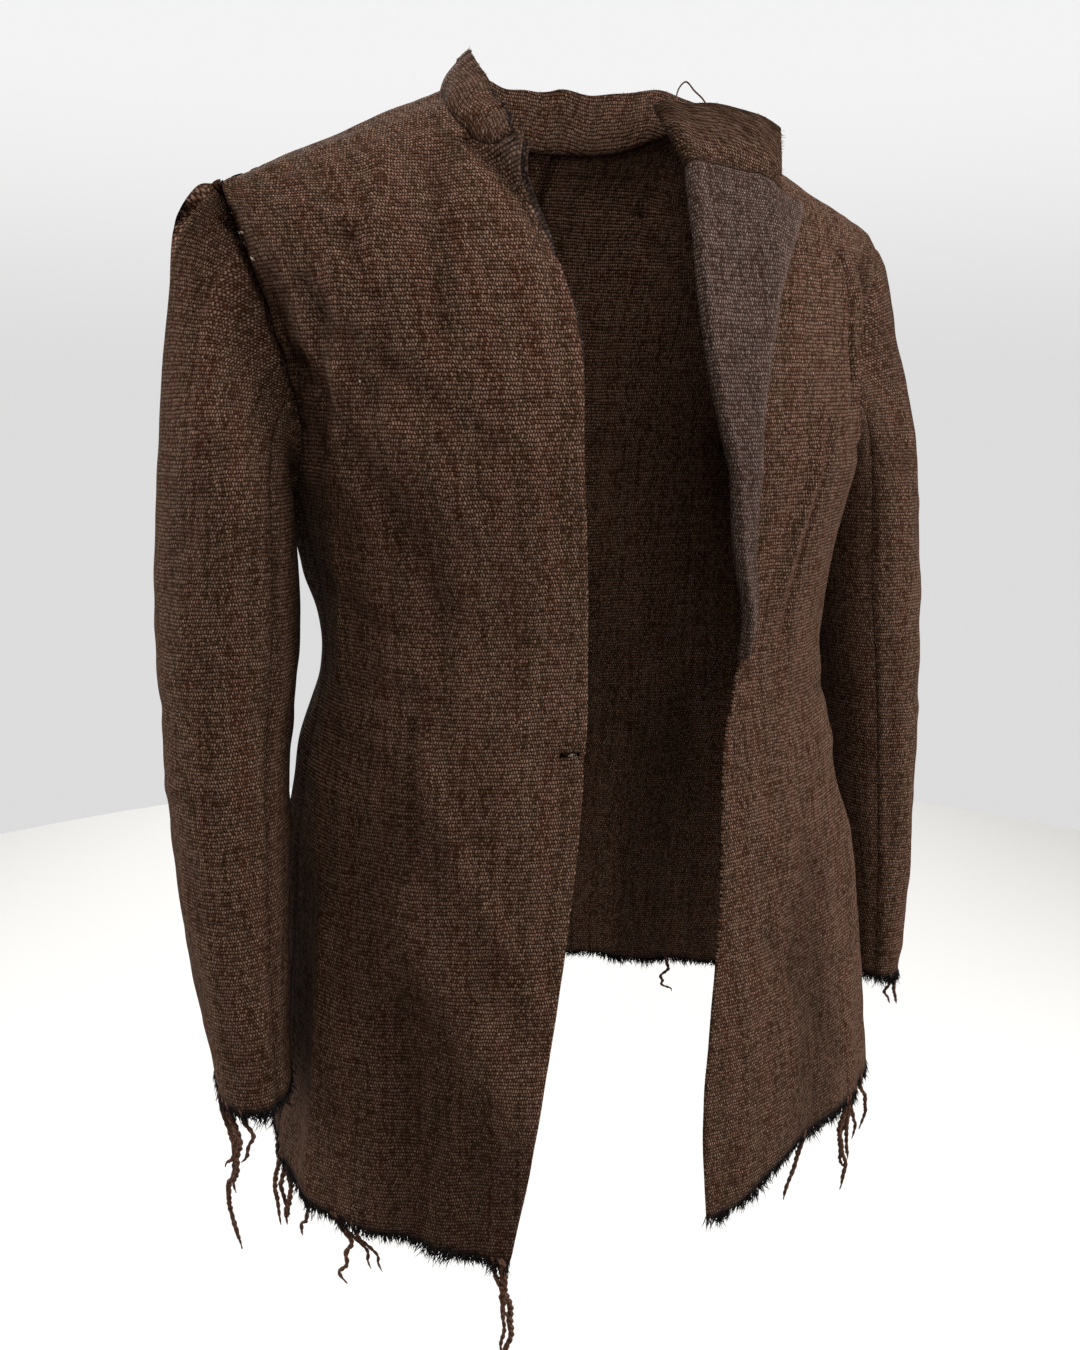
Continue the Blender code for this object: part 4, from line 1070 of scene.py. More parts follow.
def fray_edge(rng, outer, inner, down, per_mm, length_range, lean, width_range):
    """Blades along an edge: roots between the cloth's two faces, leaning to both sides and outward."""
    along = length_along(outer)
    count = int(along[-1] / MM * per_mm)
    at = np.sort(rng.uniform(0, along[-1], count))
    layer = rng.random((count, 1))
    edge_out, edge_in, fall, way = (
        read_at(at, along, values) for values in (outer, inner, down, np.gradient(outer, axis=0))
    )
    fall, way, out = unit(fall), unit(way), unit(edge_out - edge_in)
    roots = edge_out * (1 - layer) + edge_in * layer - fall * rng.uniform(*ROOT_INSET, (count, 1)) * MM
    clump = np.sin(at / CLUMP_RUN + 2 * np.sin(at / CLUMP_DRIFT))
    side = (rng.normal(0, lean, count) + 0.6 * clump * lean)[:, None]
    ways = unit(fall + way * side + out * rng.normal(0.05, lean * 0.5, (count, 1)))
    bend = BLADE_BEND * lean
    bends = way * rng.normal(0, bend, (count, 1)) + out * rng.normal(0, bend * 0.6, (count, 1))
    low, high = length_range
    lengths = (low + (high - low) * rng.random(count) ** 1.3) * (1 + 0.18 * clump) * MM
    widths = rng.uniform(*width_range, count) * MM
    return roots, ways, bends * 0.5, lengths, widths


def joined(parts):
    """Several sets of blades as one."""
    return [np.concatenate([part[k] for part in parts]) for k in range(5)]


print("a blade has", 3 * 2 + 3 + 1, "triangles")

# %% [markdown]
# Each raw edge gets its own mesh, one for each fringe of the frame. The hem's fray hangs a little lower than
# the cloth's own direction, since the threads are soft. The cuffs' ends stand out more, as in the
# photograph.

# %% Hem and cuff fray
# each kind of fray: ends per mm of edge, lengths in mm, how far they lean, widths in mm
HEM_FRAY = (5.5, (5.5, 12.5), 0.34, (0.6, 1.1))
CUFF_FRAY = (5.5, (5.5, 13.5), 0.55, (0.6, 1.1))
STUBBLE = (1.6, (1.5, 4.0), 0.9, (0.4, 0.7))
HEM_HANG = 0.5
DOWN = np.array([0.0, 0.0, -1.0])


def hem_edges():
    """Outer rim, inner rim and hanging direction of each raw hem and cuff."""
    edges = {}
    for name in ("front_right", "front_left", "back_right", "back_left"):
        outer, inner = FACES[name]
        edges["hem_fringe_" + name] = (outer[0], inner[0], unit(outer[0] - outer[1]) + DOWN * HEM_HANG)
    for word in ("right", "left"):
        top, under = SLEEVES["top_sleeve_" + word], SLEEVES["under_sleeve_" + word]
        rim = [np.concatenate([top[k][-1], under[k][-1]]) for k in (0, 1)]
        above = np.concatenate([top[0][-2], under[0][-2]])
        edges["cuff_fringe_" + word] = (rim[0], rim[1], unit(rim[0] - above))
    return edges


EDGES = hem_edges()
for number, (name, (outer, inner, down)) in enumerate(EDGES.items()):
    rng = np.random.default_rng(40 + number)
    long_fray = CUFF_FRAY if name.startswith("cuff") else HEM_FRAY
    parts = [fray_edge(rng, outer, inner, down, *kind) for kind in (long_fray, STUBBLE)]
    PIECES[name] = new_mesh(name.replace("fringe", "fray"), *blades(*joined(parts)))
    print(name, len(PIECES[name].data.vertices) // 7, "ends")

# %% [markdown]
# ## Long twisted locks
#
# Here and there a whole cross yarn has slipped out and hangs as a two-ply lock, brown, 3 to 6 mm thick,
# wavering down to a thin tip. A curve with a round bevel would look like wire. Each lock is two tubes that
# wind round one wavering path, with a few loose hairs, so it looks spun.

# %% Lock shapes
PLY_SIDES = 6
PLY_STEPS = 46
TWIST_PITCH = 10.5 * MM
LOCK_KINK, KINK_WAVES = 0.35, 3.1
LOCK_SETTLES = 2.5
# share of the edge, length, thickness, sway and drift in mm, waves down it, phase
LOCKS = {
    "hem_fringe_front_right": np.array([
        (0.02, 88, 4.2, 2.6, -2, 1.2, 0.4), (0.05, 78, 2.8, 3, -9, 0.9, 2.4),
        (0.03, 52, 2.6, 2, -1, 1.6, 1.2), (0.505, 34, 2.2, 6, -12, 0.8, 0.2),
        (0.565, 50, 3, 6, -12, 0.9, 2.6), (0.58, 36, 2.4, 6, -16, 0.7, 1), (0.75, 46, 2.6, 3.5, 3, 1.3, 0.7),
        (0.9, 54, 3.2, 3, 2, 1.4, 2.9), (0.926, 62, 3.4, 4, -2, 1.2, 0.9), (0.985, 66, 3.2, 6, -12, 0.9, 3.4),
    ]),
    "hem_fringe_front_left": np.array([
        (0.335, 50, 3, 3, -14, 0.6, 0.5), (0.53, 84, 3.4, 3.5, 2, 1.2, 1.9), (0.545, 70, 2.8, 4, 4, 1, 0.2),
        (0.585, 60, 3, 3, -8, 1, 0.6), (0.605, 48, 2.6, 4, -4, 1.1, 2), (0.65, 56, 2.8, 5, 6, 0.8, 4.2),
        (0.81, 48, 2.8, 5, 8, 1.1, 0.8), (0.9, 38, 2.6, 4, -3, 1.2, 2.7),
    ]),
    "hem_fringe_back_right": np.array([
        (0.19, 50, 3.2, 4, 4, 1.1, 0.6), (0.57, 62, 3.4, 5, -6, 1, 2.2), (0.6, 40, 2.6, 4, 3, 1.2, 0.9),
        (0.9, 42, 2.8, 4, 5, 1, 1.5),
    ]),
    "hem_fringe_back_left": np.array([
        (0.13, 56, 3.2, 4, -4, 1, 1.1), (0.48, 40, 2.6, 5, 6, 1.1, 0.4), (0.8, 60, 3.4, 5, -5, 0.9, 2.8),
        (0.83, 36, 2.4, 4, 5, 1.2, 1.7),
    ]),
    "cuff_fringe_right": np.array([
        (0.245, 128, 3.8, 6, 6, 1.7, 0.3), (0.175, 62, 3.4, 5, -12, 0.9, 2.2), (0.205, 58, 3, 5, 8, 1, 0.9),
        (0.115, 40, 2.6, 4, 5, 0.8, 1.6),
    ]),
    "cuff_fringe_left": np.array([
        (0.06, 30, 2.4, 4, 12, 0.8, 0.6), (0.12, 34, 2.6, 4, 6, 0.7, 2), (0.17, 28, 2, 4, -6, 0.9, 4),
        (0.56, 30, 2.2, 5, -9, 0.9, 2),
    ]),
}


def lock_path(start, along, out, row):
    """Way down a lock: it drifts and sways by sines from its root, and sways half as much outward."""
    _, length, _, sway, drift, waves, phase = row
    t = np.linspace(0, 1, PLY_STEPS)[:, None]
    swing = np.sin(2 * np.pi * waves * t + phase) - math.sin(phase)
    kink = LOCK_KINK * (np.sin(2 * np.pi * waves * KINK_WAVES * t + phase * 2) - math.sin(phase * 2))
    sway = sway * smooth(t * LOCK_SETTLES)
    side = (drift * t**1.2 + sway * (swing + kink)) * MM
    deep = 0.5 * sway * (np.cos(2 * np.pi * waves * 0.8 * t + phase) - math.cos(phase)) * MM
    return start + DOWN * length * MM * t + along * side + out * deep


def tubes(paths, radii, sides):
    """Round tubes along many paths at once: rings lie across a path, and both ends close to a point."""
    count, steps = paths.shape[:2]
    along = unit(np.gradient(paths, axis=1))
    side = unit(np.cross(along, np.array([0.31, 0.84, 0.12])))
    other = np.cross(along, side)
    angle = np.arange(sides) * 2 * np.pi / sides
    ring = side[:, :, None] * np.cos(angle)[:, None] + other[:, :, None] * np.sin(angle)[:, None]
    points = (paths[:, :, None] + ring * radii[:, :, None, None]).reshape(count, -1, 3)
    points = np.concatenate([points, paths[:, :1], paths[:, -1:]], 1)
    size = steps * sides + 2
    base = (np.arange(count) * size)[:, None, None]
    i, k = np.arange(steps - 1)[None, :, None], np.arange(sides)[None, None, :]
    j = (k + 1) % sides
    below, above = base + i * sides, base + (i + 1) * sides
    quads = np.stack([below + k, below + j, above + j, above + k], -1).reshape(-1, 4)
    k, j, base = k[0], j[0], base[:, 0]
    last = base + (steps - 1) * sides
    start, end = (np.broadcast_to(base + steps * sides + more, (count, sides)) for more in (0, 1))
    low, high = np.stack([base + j, base + k, start], -1), np.stack([last + k, last + j, end], -1)
    run = length_along(paths, axis=1)
    u = np.concatenate([np.tile(angle / (2 * np.pi), steps), [0, 0]])
    v = np.concatenate([np.repeat(run, sides, axis=1), run[:, :1], run[:, -1:]], 1)
    uv = np.stack([np.broadcast_to(u, v.shape), v], -1).reshape(-1, 2)
    return points.reshape(-1, 3), quads, np.concatenate([low.reshape(-1, 3), high.reshape(-1, 3)]), uv


def stacked(parts):
    """Several (points, quads, triangles, uv) as one, their numbering moved on."""
    offsets = np.cumsum([0, *(len(part[0]) for part in parts[:-1])])
    moved = [(part[0], part[1] + more, part[2] + more, part[3]) for part, more in zip(parts, offsets)]
    return [np.concatenate([part[k] for part in moved]) for k in range(4)]


print("a lock has", 2 * 2 * PLY_SIDES * PLY_STEPS, "triangles")

# %% Locks on every edge
LOCK_FULLNESS = 1.5
TIP_FROM, TIP_THINNING = 0.86, 0.6
HAIRS_PER_MM = 0.7
# shares of a lock's thickness: a ply's distance from the path, and its radius
PLY_REACH, PLY_RADIUS = 0.20, 0.30


def locks_of(name, seed):
    """Two plies wound round each lock's path, thinning to the tip, and loose hairs beside them."""
    outer, inner, down = EDGES[name]
    along = length_along(outer)
    rng = np.random.default_rng(seed)
    paths, radii, hairs = [], [], []
    for row in LOCKS[name]:
        here, under, way = (
            read_at(row[0] * along[-1], along, grid) for grid in (outer, inner, np.gradient(outer, axis=0))
        )
        way, out = unit(way), unit(here - under)
        path = lock_path((here + under) / 2 - DOWN * 2 * MM, way, out, row)
        run = length_along(path)
        t = run / run[-1]
        thick = LOCK_FULLNESS * row[2] * MM * (0.55 + 0.45 * (1 - t) ** 0.6)
        thick = thick * (1 - TIP_THINNING * smooth((t - TIP_FROM) / (1 - TIP_FROM)))
        thick = thick * (1 + 0.07 * np.sin(t * 23 + row[6]))
        for ply in (0, 1):
            turn = 2 * np.pi * run / TWIST_PITCH + np.pi * ply
            ray = way * np.cos(turn)[:, None] + out * np.sin(turn)[:, None]
            paths.append(path + ray * (thick * PLY_REACH)[:, None])
            radii.append(thick * PLY_RADIUS)
        count = int(row[1] * HAIRS_PER_MM)
        pick = rng.integers(0, PLY_STEPS - 2, count)
        ways = unit(rng.normal(0, 1, (count, 3)) + DOWN * 0.8)
        hairs.append((path[pick], ways, rng.normal(0, 0.4, (count, 3)), rng.uniform(2, 5, count) * MM,
                      rng.uniform(0.10, 0.2, count) * MM))
    body = tubes(np.array(paths), np.array(radii), PLY_SIDES)
    return new_mesh(name.replace("fringe", "locks"), *stacked([body, blades(*joined(hairs), uv_scale=0.01)]))


LOCK_PIECES = {name: locks_of(name, 70 + number) for number, name in enumerate(LOCKS)}
print("locks:", sum(len(rows) for rows in LOCKS.values()))

# %% [markdown]
# ## Loose hairs on the other edges
#
# The collar's top, the lapel and the front edges are cut too, but their fray is short and brown. The torn
# front end of the collar is rougher, with a few thick dark yarn ends. One long yarn has lifted off the
# collar's top edge in a loop.

# %% Edge hairs
TORN_SHARE = 0.10
# each kind of fray, as at the hem
TOP_FRAY = (1.5, (0.8, 3.0), 0.7, (0.18, 0.4))
TORN_FRAY = (4.0, (1.5, 5.5), 0.6, (0.3, 0.7))
END_FRAY = (3.0, (1.2, 4.5), 0.6, (0.2, 0.5))
LAPEL_FRAY = (1.2, (0.6, 2.0), 0.8, (0.15, 0.35))
FRONT_FRAY = (0.8, (0.6, 2.0), 0.8, (0.15, 0.3))
TORN_TOP_ENDS = (4.5, (1.5, 4.5), 0.6, (0.5, 0.95))
TORN_SIDE_ENDS = (4.5, (1.0, 3.0), 0.6, (0.5, 0.9))


def ends_of(rng, outer, inner, beside, kind):
    """Fray along one edge of a wall; beside is the line of points next to it, so that the ends point away."""
    return fray_edge(rng, outer, inner, outer - beside, *kind)


def edge_hairs():
    """Short blades on the collar's top and ends, the lapel's edge and both front edges."""
    rng = np.random.default_rng(5)
    out, into = COLLAR_FACES
    shown, hidden = LAPEL_FACES
    parts = [
        ends_of(rng, out[-1], into[-1], out[-3], TOP_FRAY),
        ends_of(rng, out[:, 0], into[:, 0], out[:, 2], TORN_FRAY),
        ends_of(rng, out[:, -1], into[:, -1], out[:, -3], END_FRAY),
        ends_of(rng, shown[:, -1], hidden[:, -1], shown[:, -3], LAPEL_FRAY),
    ]
    stop = int(np.argmax(FRONT_ROWS >= NECK_START))
    for name, last in (("front_right", stop), ("front_left", stop // 2)):
        outer, inner = (face[:last] for face in FACES[name])
        parts.append(ends_of(rng, outer[:, 0], inner[:, 0], outer[:, 2], FRONT_FRAY))
    return new_mesh("edge_hairs", *blades(*joined(parts)))


def torn_ends():
    """Thick dark yarn ends down the collar's torn front end and along the first part of its top edge."""
    rng = np.random.default_rng(17)
    out, into = COLLAR_FACES
    torn = slice(0, int(TORN_SHARE * COLLAR_POINTS))
    parts = [
        ends_of(rng, out[-1, torn], into[-1, torn], out[-3, torn], TORN_TOP_ENDS),
        ends_of(rng, out[:, 0], into[:, 0], out[:, 2], TORN_SIDE_ENDS),
    ]
    return new_mesh("torn_ends", *blades(*joined(parts)))


TORN_ENDS = torn_ends()
EDGE_HAIRS = edge_hairs()
print("edge hairs:", len(EDGE_HAIRS.data.vertices) // 7)

# %% Loose yarns
YARN_STEPS = 40
FINE_APART = 3.5 * MM
LOOP_SHARE = 0.80
CORNER_PLACE = 0.775
LOOP_RADIUS, FINE_RADIUS = 0.55 * MM, 0.16 * MM
# way of each loose yarn in mm from its root: along the edge, outward, up
LOOP_YARN = np.array([(0, 0, -1), (6, 1, 4), (14, 2, 7), (22, 2, 11), (26, 1, 8), (28, 0, 2), (28, 0, -3)])
TORN_YARN = np.array([(0, 0, -2), (1, 1, 4), (4, 3, 8), (9, 4, 9), (13, 3, 5), (14, 2, -2), (12, 1, -8)])


def rounded(points, steps):
    """Smooth polyline through a few points: each column is a cubic over the running length."""
    run = length_along(points)
    table = np.concatenate([run[:, None], points], 1)
    at = np.linspace(0, run[-1], steps)
    return np.stack([curve(table, k, at) for k in (1, 2, 3)], -1)


def yarn_at(root, along, out, table):
    """A yarn of given shape laid from a root: along an edge, outward and up."""
    return root + rounded(table * MM, YARN_STEPS) @ np.stack([along, out, -DOWN])


def loose_yarns():
    """The lifted loop on the left of the collar and fine ends at the turned corner."""
    out_face, in_face = COLLAR_FACES
    spot = int(LOOP_SHARE * COLLAR_POINTS)
    way = unit(out_face[-1, spot + 4] - out_face[-1, spot - 4])
    across = out_face[-1, spot] - in_face[-1, spot]
    loop = yarn_at((out_face[-1, spot] + in_face[-1, spot]) / 2, way, unit(across), LOOP_YARN)
    corner = int(np.argmax(FRONT_ROWS >= CORNER_PLACE))
    outer, inner = (face[corner] for face in FACES["front_right"])
    root, away = (outer[0] + inner[0]) / 2, unit(outer[0] - outer[3])
    fine = [
        yarn_at(root - DOWN * k * FINE_APART, away, unit(outer[0] - inner[0]), TORN_YARN * (0.6 + 0.25 * k))
        for k in range(3)
    ]
    thinning = 1 - 0.5 * np.linspace(0, 1, YARN_STEPS) ** 6
    radii = np.array([LOOP_RADIUS, *[FINE_RADIUS] * 3])[:, None] * thinning
    return new_mesh("loose_yarns", *tubes(np.array([loop, *fine]), radii, 5))


LOOSE_YARNS = loose_yarns()
print("loose yarns: 4")

# %% [markdown]
# ## Buttonhole, tacks and stitches
#
# The buttonhole is a slit cut through the right front, its raw edge short and dark, with a puff of pale
# thread at its inner end. A tailor leaves a few more signs: a white tack where each sleeve was basted, a
# dotted line of stitches down the left edge, and a twisted thread along the lapel. All are tubes and blades
# of thread that lie on the cloth, so they keep their place.

# %% Threads on the cloth
TACK_THREAD = 0.42 * MM
STITCH_THREAD = 0.24 * MM
EDGE_THREAD = 0.38 * MM
STITCH_EVERY = 5.0 * MM
STITCH_LENGTH = 3.0 * MM
# around and level of the stitched line down the left front
STITCH_LINE = np.array([(0.0, 0.212, 0.796), (0.35, 0.181, 0.633), (0.7, 0.140, 0.502), (1.0, 0.112, 0.437)])
# side, around, level, then the stitch's way in mm over the cloth
TACKS = (
    (-1, 0.945, 1.53, 3.4, -3.0), (-1, 0.955, 1.62, 1.4, -1.2), (1, 0.85, 1.455, 2.0, -2.6),
    (-1, 0.61, 1.19, 0.6, 0.4),
)
STITCH_STEPS = 12
TACK_LIFT, TACK_HEIGHT = 0.6 * MM, 0.9 * MM
TACK_TURNS = (0.0, 0.9)
RUNNING_LIFT, RUNNING_HEIGHT = 0.1 * MM, 0.45 * MM
SLIT_FRAY = (7.0, (0.8, 2.2), 0.8, (0.25, 0.5))
PLY_POINTS = 420
EDGE_TWIST = 3.2 * MM
PUFF_HAIRS = 34


def on_cloth(side, around, level, lift):
    """Point of the form, lifted along its normal, and the directions across and up there."""
    here = form(side * around, level)
    normal = normals(bare_form, side * around, level)
    across = unit(form(side * around + 0.01, level) - here)
    up = unit(form(side * around, level + 0.01) - here)
    return here + normal * lift, across, up, normal


def stitch(start, end, normal, height):
    """A thread that rises out of the cloth, runs over it and goes back in."""
    t = np.linspace(0, 1, STITCH_STEPS)[:, None]
    return start + (end - start) * t + normal * height * (np.sin(np.pi * t) ** 0.5 - 0.35)


def threads(paths, radius):
    """Tubes of one radius along equally long paths."""
    paths = np.array(paths)
    return tubes(paths, np.full(paths.shape[:2], radius), 5)


def pale_stitches():
    """White basting tacks by the armholes."""
    paths = []
    for side, around, level, right, up_way in TACKS:
        place, across, up, normal = on_cloth(side, around, level, TACK_LIFT)
        for turn in TACK_TURNS:
            sine, cosine = math.sin(turn), math.cos(turn)
            way = across * (right * cosine - up_way * sine) + up * (up_way + right * sine)
            paths.append(stitch(place - way * MM / 2, place + way * MM / 2, normal, TACK_HEIGHT))
    return threads(paths, TACK_THREAD)


def dark_stitches():
    """A dotted line of running stitches down the left front."""
    where = np.linspace(0, 1, 60)
    line = form(curve(STITCH_LINE, 1, where), curve(STITCH_LINE, 2, where))
    run = length_along(line)
    begin = np.arange(4 * MM, run[-1] - STITCH_LENGTH, STITCH_EVERY)
    paths = []
    for at in begin:
        share = np.interp((at, at + STITCH_LENGTH), run, where)
        around, level = curve(STITCH_LINE, 1, share), curve(STITCH_LINE, 2, share)
        ends, normal = form(around, level), normals(bare_form, around, level)[0]
        paths.append(stitch(*(ends + normal * RUNNING_LIFT), normal, RUNNING_HEIGHT))
    return threads(paths, STITCH_THREAD)


def edge_thread():
    """Two plies that wind round each other along the lapel's outer edge."""
    shown, hidden = LAPEL_FACES
    edge = (shown[:, -1] * 0.75 + hidden[:, -1] * 0.25) + unit(shown[:, -1] - shown[:, -2]) * 0.5 * MM
    run = length_along(edge)
    even = np.linspace(0, run[-1], PLY_POINTS)
    path = read_at(even, run, edge)
    out = unit(shown[len(shown) // 2, -1] - hidden[len(hidden) // 2, -1])
    side = unit(np.cross(np.gradient(path, axis=0), out))
    turns = [(2 * np.pi * even / EDGE_TWIST + k)[:, None] for k in (0, np.pi)]
    plies = [path + (out * np.cos(t) + side * np.sin(t)) * EDGE_THREAD * 0.8 for t in turns]
    return threads(plies, EDGE_THREAD)


def buttonhole_threads():
    """Raw dark ends round the slit, and the roots and ways of the pale puff at its inner end."""
    rng = np.random.default_rng(29)
    outer, inner = FACES["front_right"]
    low, high, start, end = SLIT
    raw = []
    for row, across in ((low, outer[high] - outer[low]), (high, outer[low] - outer[high])):
        edges = [grid[start:end + 1] for grid in (outer[row], inner[row], across)]
        raw.append(fray_edge(rng, *edges, *SLIT_FRAY))
    count = PUFF_HAIRS
    middle = (outer[low, end - 3] + outer[high, end - 3]) / 2
    normal = unit(outer[low, end] - inner[low, end])
    spread = rng.normal(0, 1, (count, 3)) * (1.0, 0.5, 0.7) * MM
    ways = unit(normal + rng.normal(0, 0.9, (count, 3)))
    puff = (middle + spread, ways, rng.normal(0, 0.9, (count, 3)), rng.uniform(0.8, 2.4, count) * MM,
            rng.uniform(0.2, 0.4, count) * MM)
    return raw, puff


RAW_ENDS, PUFF = buttonhole_threads()
PALE_THREADS = new_mesh("pale_threads", *stacked([pale_stitches(), blades(*PUFF, uv_scale=0.01)]))
EDGE_THREADS = new_mesh("edge_threads", *stacked([dark_stitches(), edge_thread()]))
SLIT_ENDS = new_mesh("slit_ends", *blades(*joined(RAW_ENDS)))
print("faces of the threads:", [len(p.data.polygons) for p in (PALE_THREADS, EDGE_THREADS, SLIT_ENDS)])

# %% [markdown]
# ## Shader maths as plain expressions
#
# Materials are built from nodes. Wiring them one by one hides the thought, so a small class wraps a socket
# and lets the maths be written down: Paint * 2 + 1 adds the nodes that do it. One method adds any other
# node.

# %% Paint class
SPECULAR = 0.03


class Paint:
    """One output socket of a material, usable in expressions."""

    def __init__(self, tree, socket=None):
        self.tree, self.socket = tree, socket

    def add(self, kind, settings=None, sockets=None, out=0):
        """Any node: its settings first, then a value or a Paint for each socket."""
        node = self.tree.nodes.new(kind)
        for name, value in (settings or {}).items():
            setattr(node, name, value)
        for key, value in (sockets or {}).items():
            if isinstance(value, Paint):
                self.tree.links.new(value.socket, node.inputs[key])
            else:
                node.inputs[key].default_value = value
        return Paint(self.tree, node.outputs[out])

    def maths(self, operation, *values):
        return self.add("ShaderNodeMath", {"operation": operation}, dict(enumerate(values)))

    def between(self, low, high):
        """0 below low, 1 above high, smooth between."""
        settings = {"interpolation_type": "SMOOTHSTEP"}
        return self.add("ShaderNodeMapRange", settings, {0: self, 1: low, 2: high})

    def vectors(self, operation, other):
        """Vector maths with another vector, or with a number for SCALE."""
        key = 3 if operation == "SCALE" else 1
        return self.add("ShaderNodeVectorMath", {"operation": operation}, {0: self, key: other})

    def noise(self, scale, detail, roughness=0.5, out=0):
        """Noise at this place: out 0 is a value, 1 a vector."""
        sockets = {"Vector": self, "Scale": scale, "Detail": detail, "Roughness": roughness}
        return self.add("ShaderNodeTexNoise", None, sockets, out)

    def bump(self, strength, distance):
        """Normal of a surface that has this height."""
        return self.add("ShaderNodeBump", None, {"Strength": strength, "Distance": distance, "Height": self})


for word, kind in (("add", "ADD"), ("sub", "SUBTRACT"), ("mul", "MULTIPLY"), ("pow", "POWER")):
    setattr(Paint, f"__{word}__", lambda self, other, kind=kind: self.maths(kind, self, other))
    setattr(Paint, f"__r{word}__", lambda self, other, kind=kind: self.maths(kind, other, self))


def mix(factor, first, second):
    """Mix of two colours, each a Paint or a tuple, by a Paint as the factor."""
    sockets = {0: factor}
    for key, colour in ((6, first), (7, second)):
        sockets[key] = colour if isinstance(colour, Paint) else (*colour, 1.0)
    return factor.add("ShaderNodeMix", {"data_type": "RGBA"}, sockets, out=2)


def new_material(name, roughness):
    """A material with its constants on the shader's own sockets; returns it, its shader and a first Paint."""
    material = bpy.data.materials.new(name)
    material.use_nodes = True
    shader = material.node_tree.nodes["Principled BSDF"]
    shader.inputs["Roughness"].default_value = roughness
    shader.inputs["Specular IOR Level"].default_value = SPECULAR
    return material, shader, Paint(material.node_tree)


def feed(paint, shader, key):
    """Link a Paint to one of the shader's sockets."""
    paint.tree.links.new(paint.socket, shader.inputs[key])


print("shader sockets: Base Color and Normal change over a surface, the rest are constants")

# %% [markdown]
# ## The wool
#
# Seen close, the cloth is a field of small raised knots, each 1.7 mm wide and 2.4 mm tall, laid like bricks
# on ribs 2.4 mm apart. Between the ribs lie dark pits, one every 3.3 mm, where the black warp shows. Some
# knots are pale grey-brown, most are brown. Reddish and olive bars, one of each in 27 mm, run down the
# cloth, soft and uneven.
#
# The pattern reads the UV map, which holds true lengths, so no panel stretches it. Two slow noises pull it
# about, as hand weaving does.

# %% Wool material
DASH_WIDTH = 1.65
DASH_HEIGHT = 2.4
RIB = 2.4
PIT = 3.3
BAR_PERIOD = 27.0
DARK_GAP = (0.0045, 0.0018, 0.0010)
# the noises that pull the weave about: scale per mm, detail, reach in mm
PULLS = ((0.02, 2.0, 4.0), (0.33, 1.0, 2.2))
# scales across and along, per mm, of the warp's lines, the weft's lines and the swaying of the bars
STREAKS = ((0.22, 0.010), (0.012, 0.45), (0.05, 0.004))
WOOL_BUMP, YARN_BUMP = 0.9 * MM, 0.3 * MM
PLAIN_SHARE = 0.18
HEM_TONE = (0.006, 0.005, 0.005)
TURNED_TONE = (0.052, 0.037, 0.031)


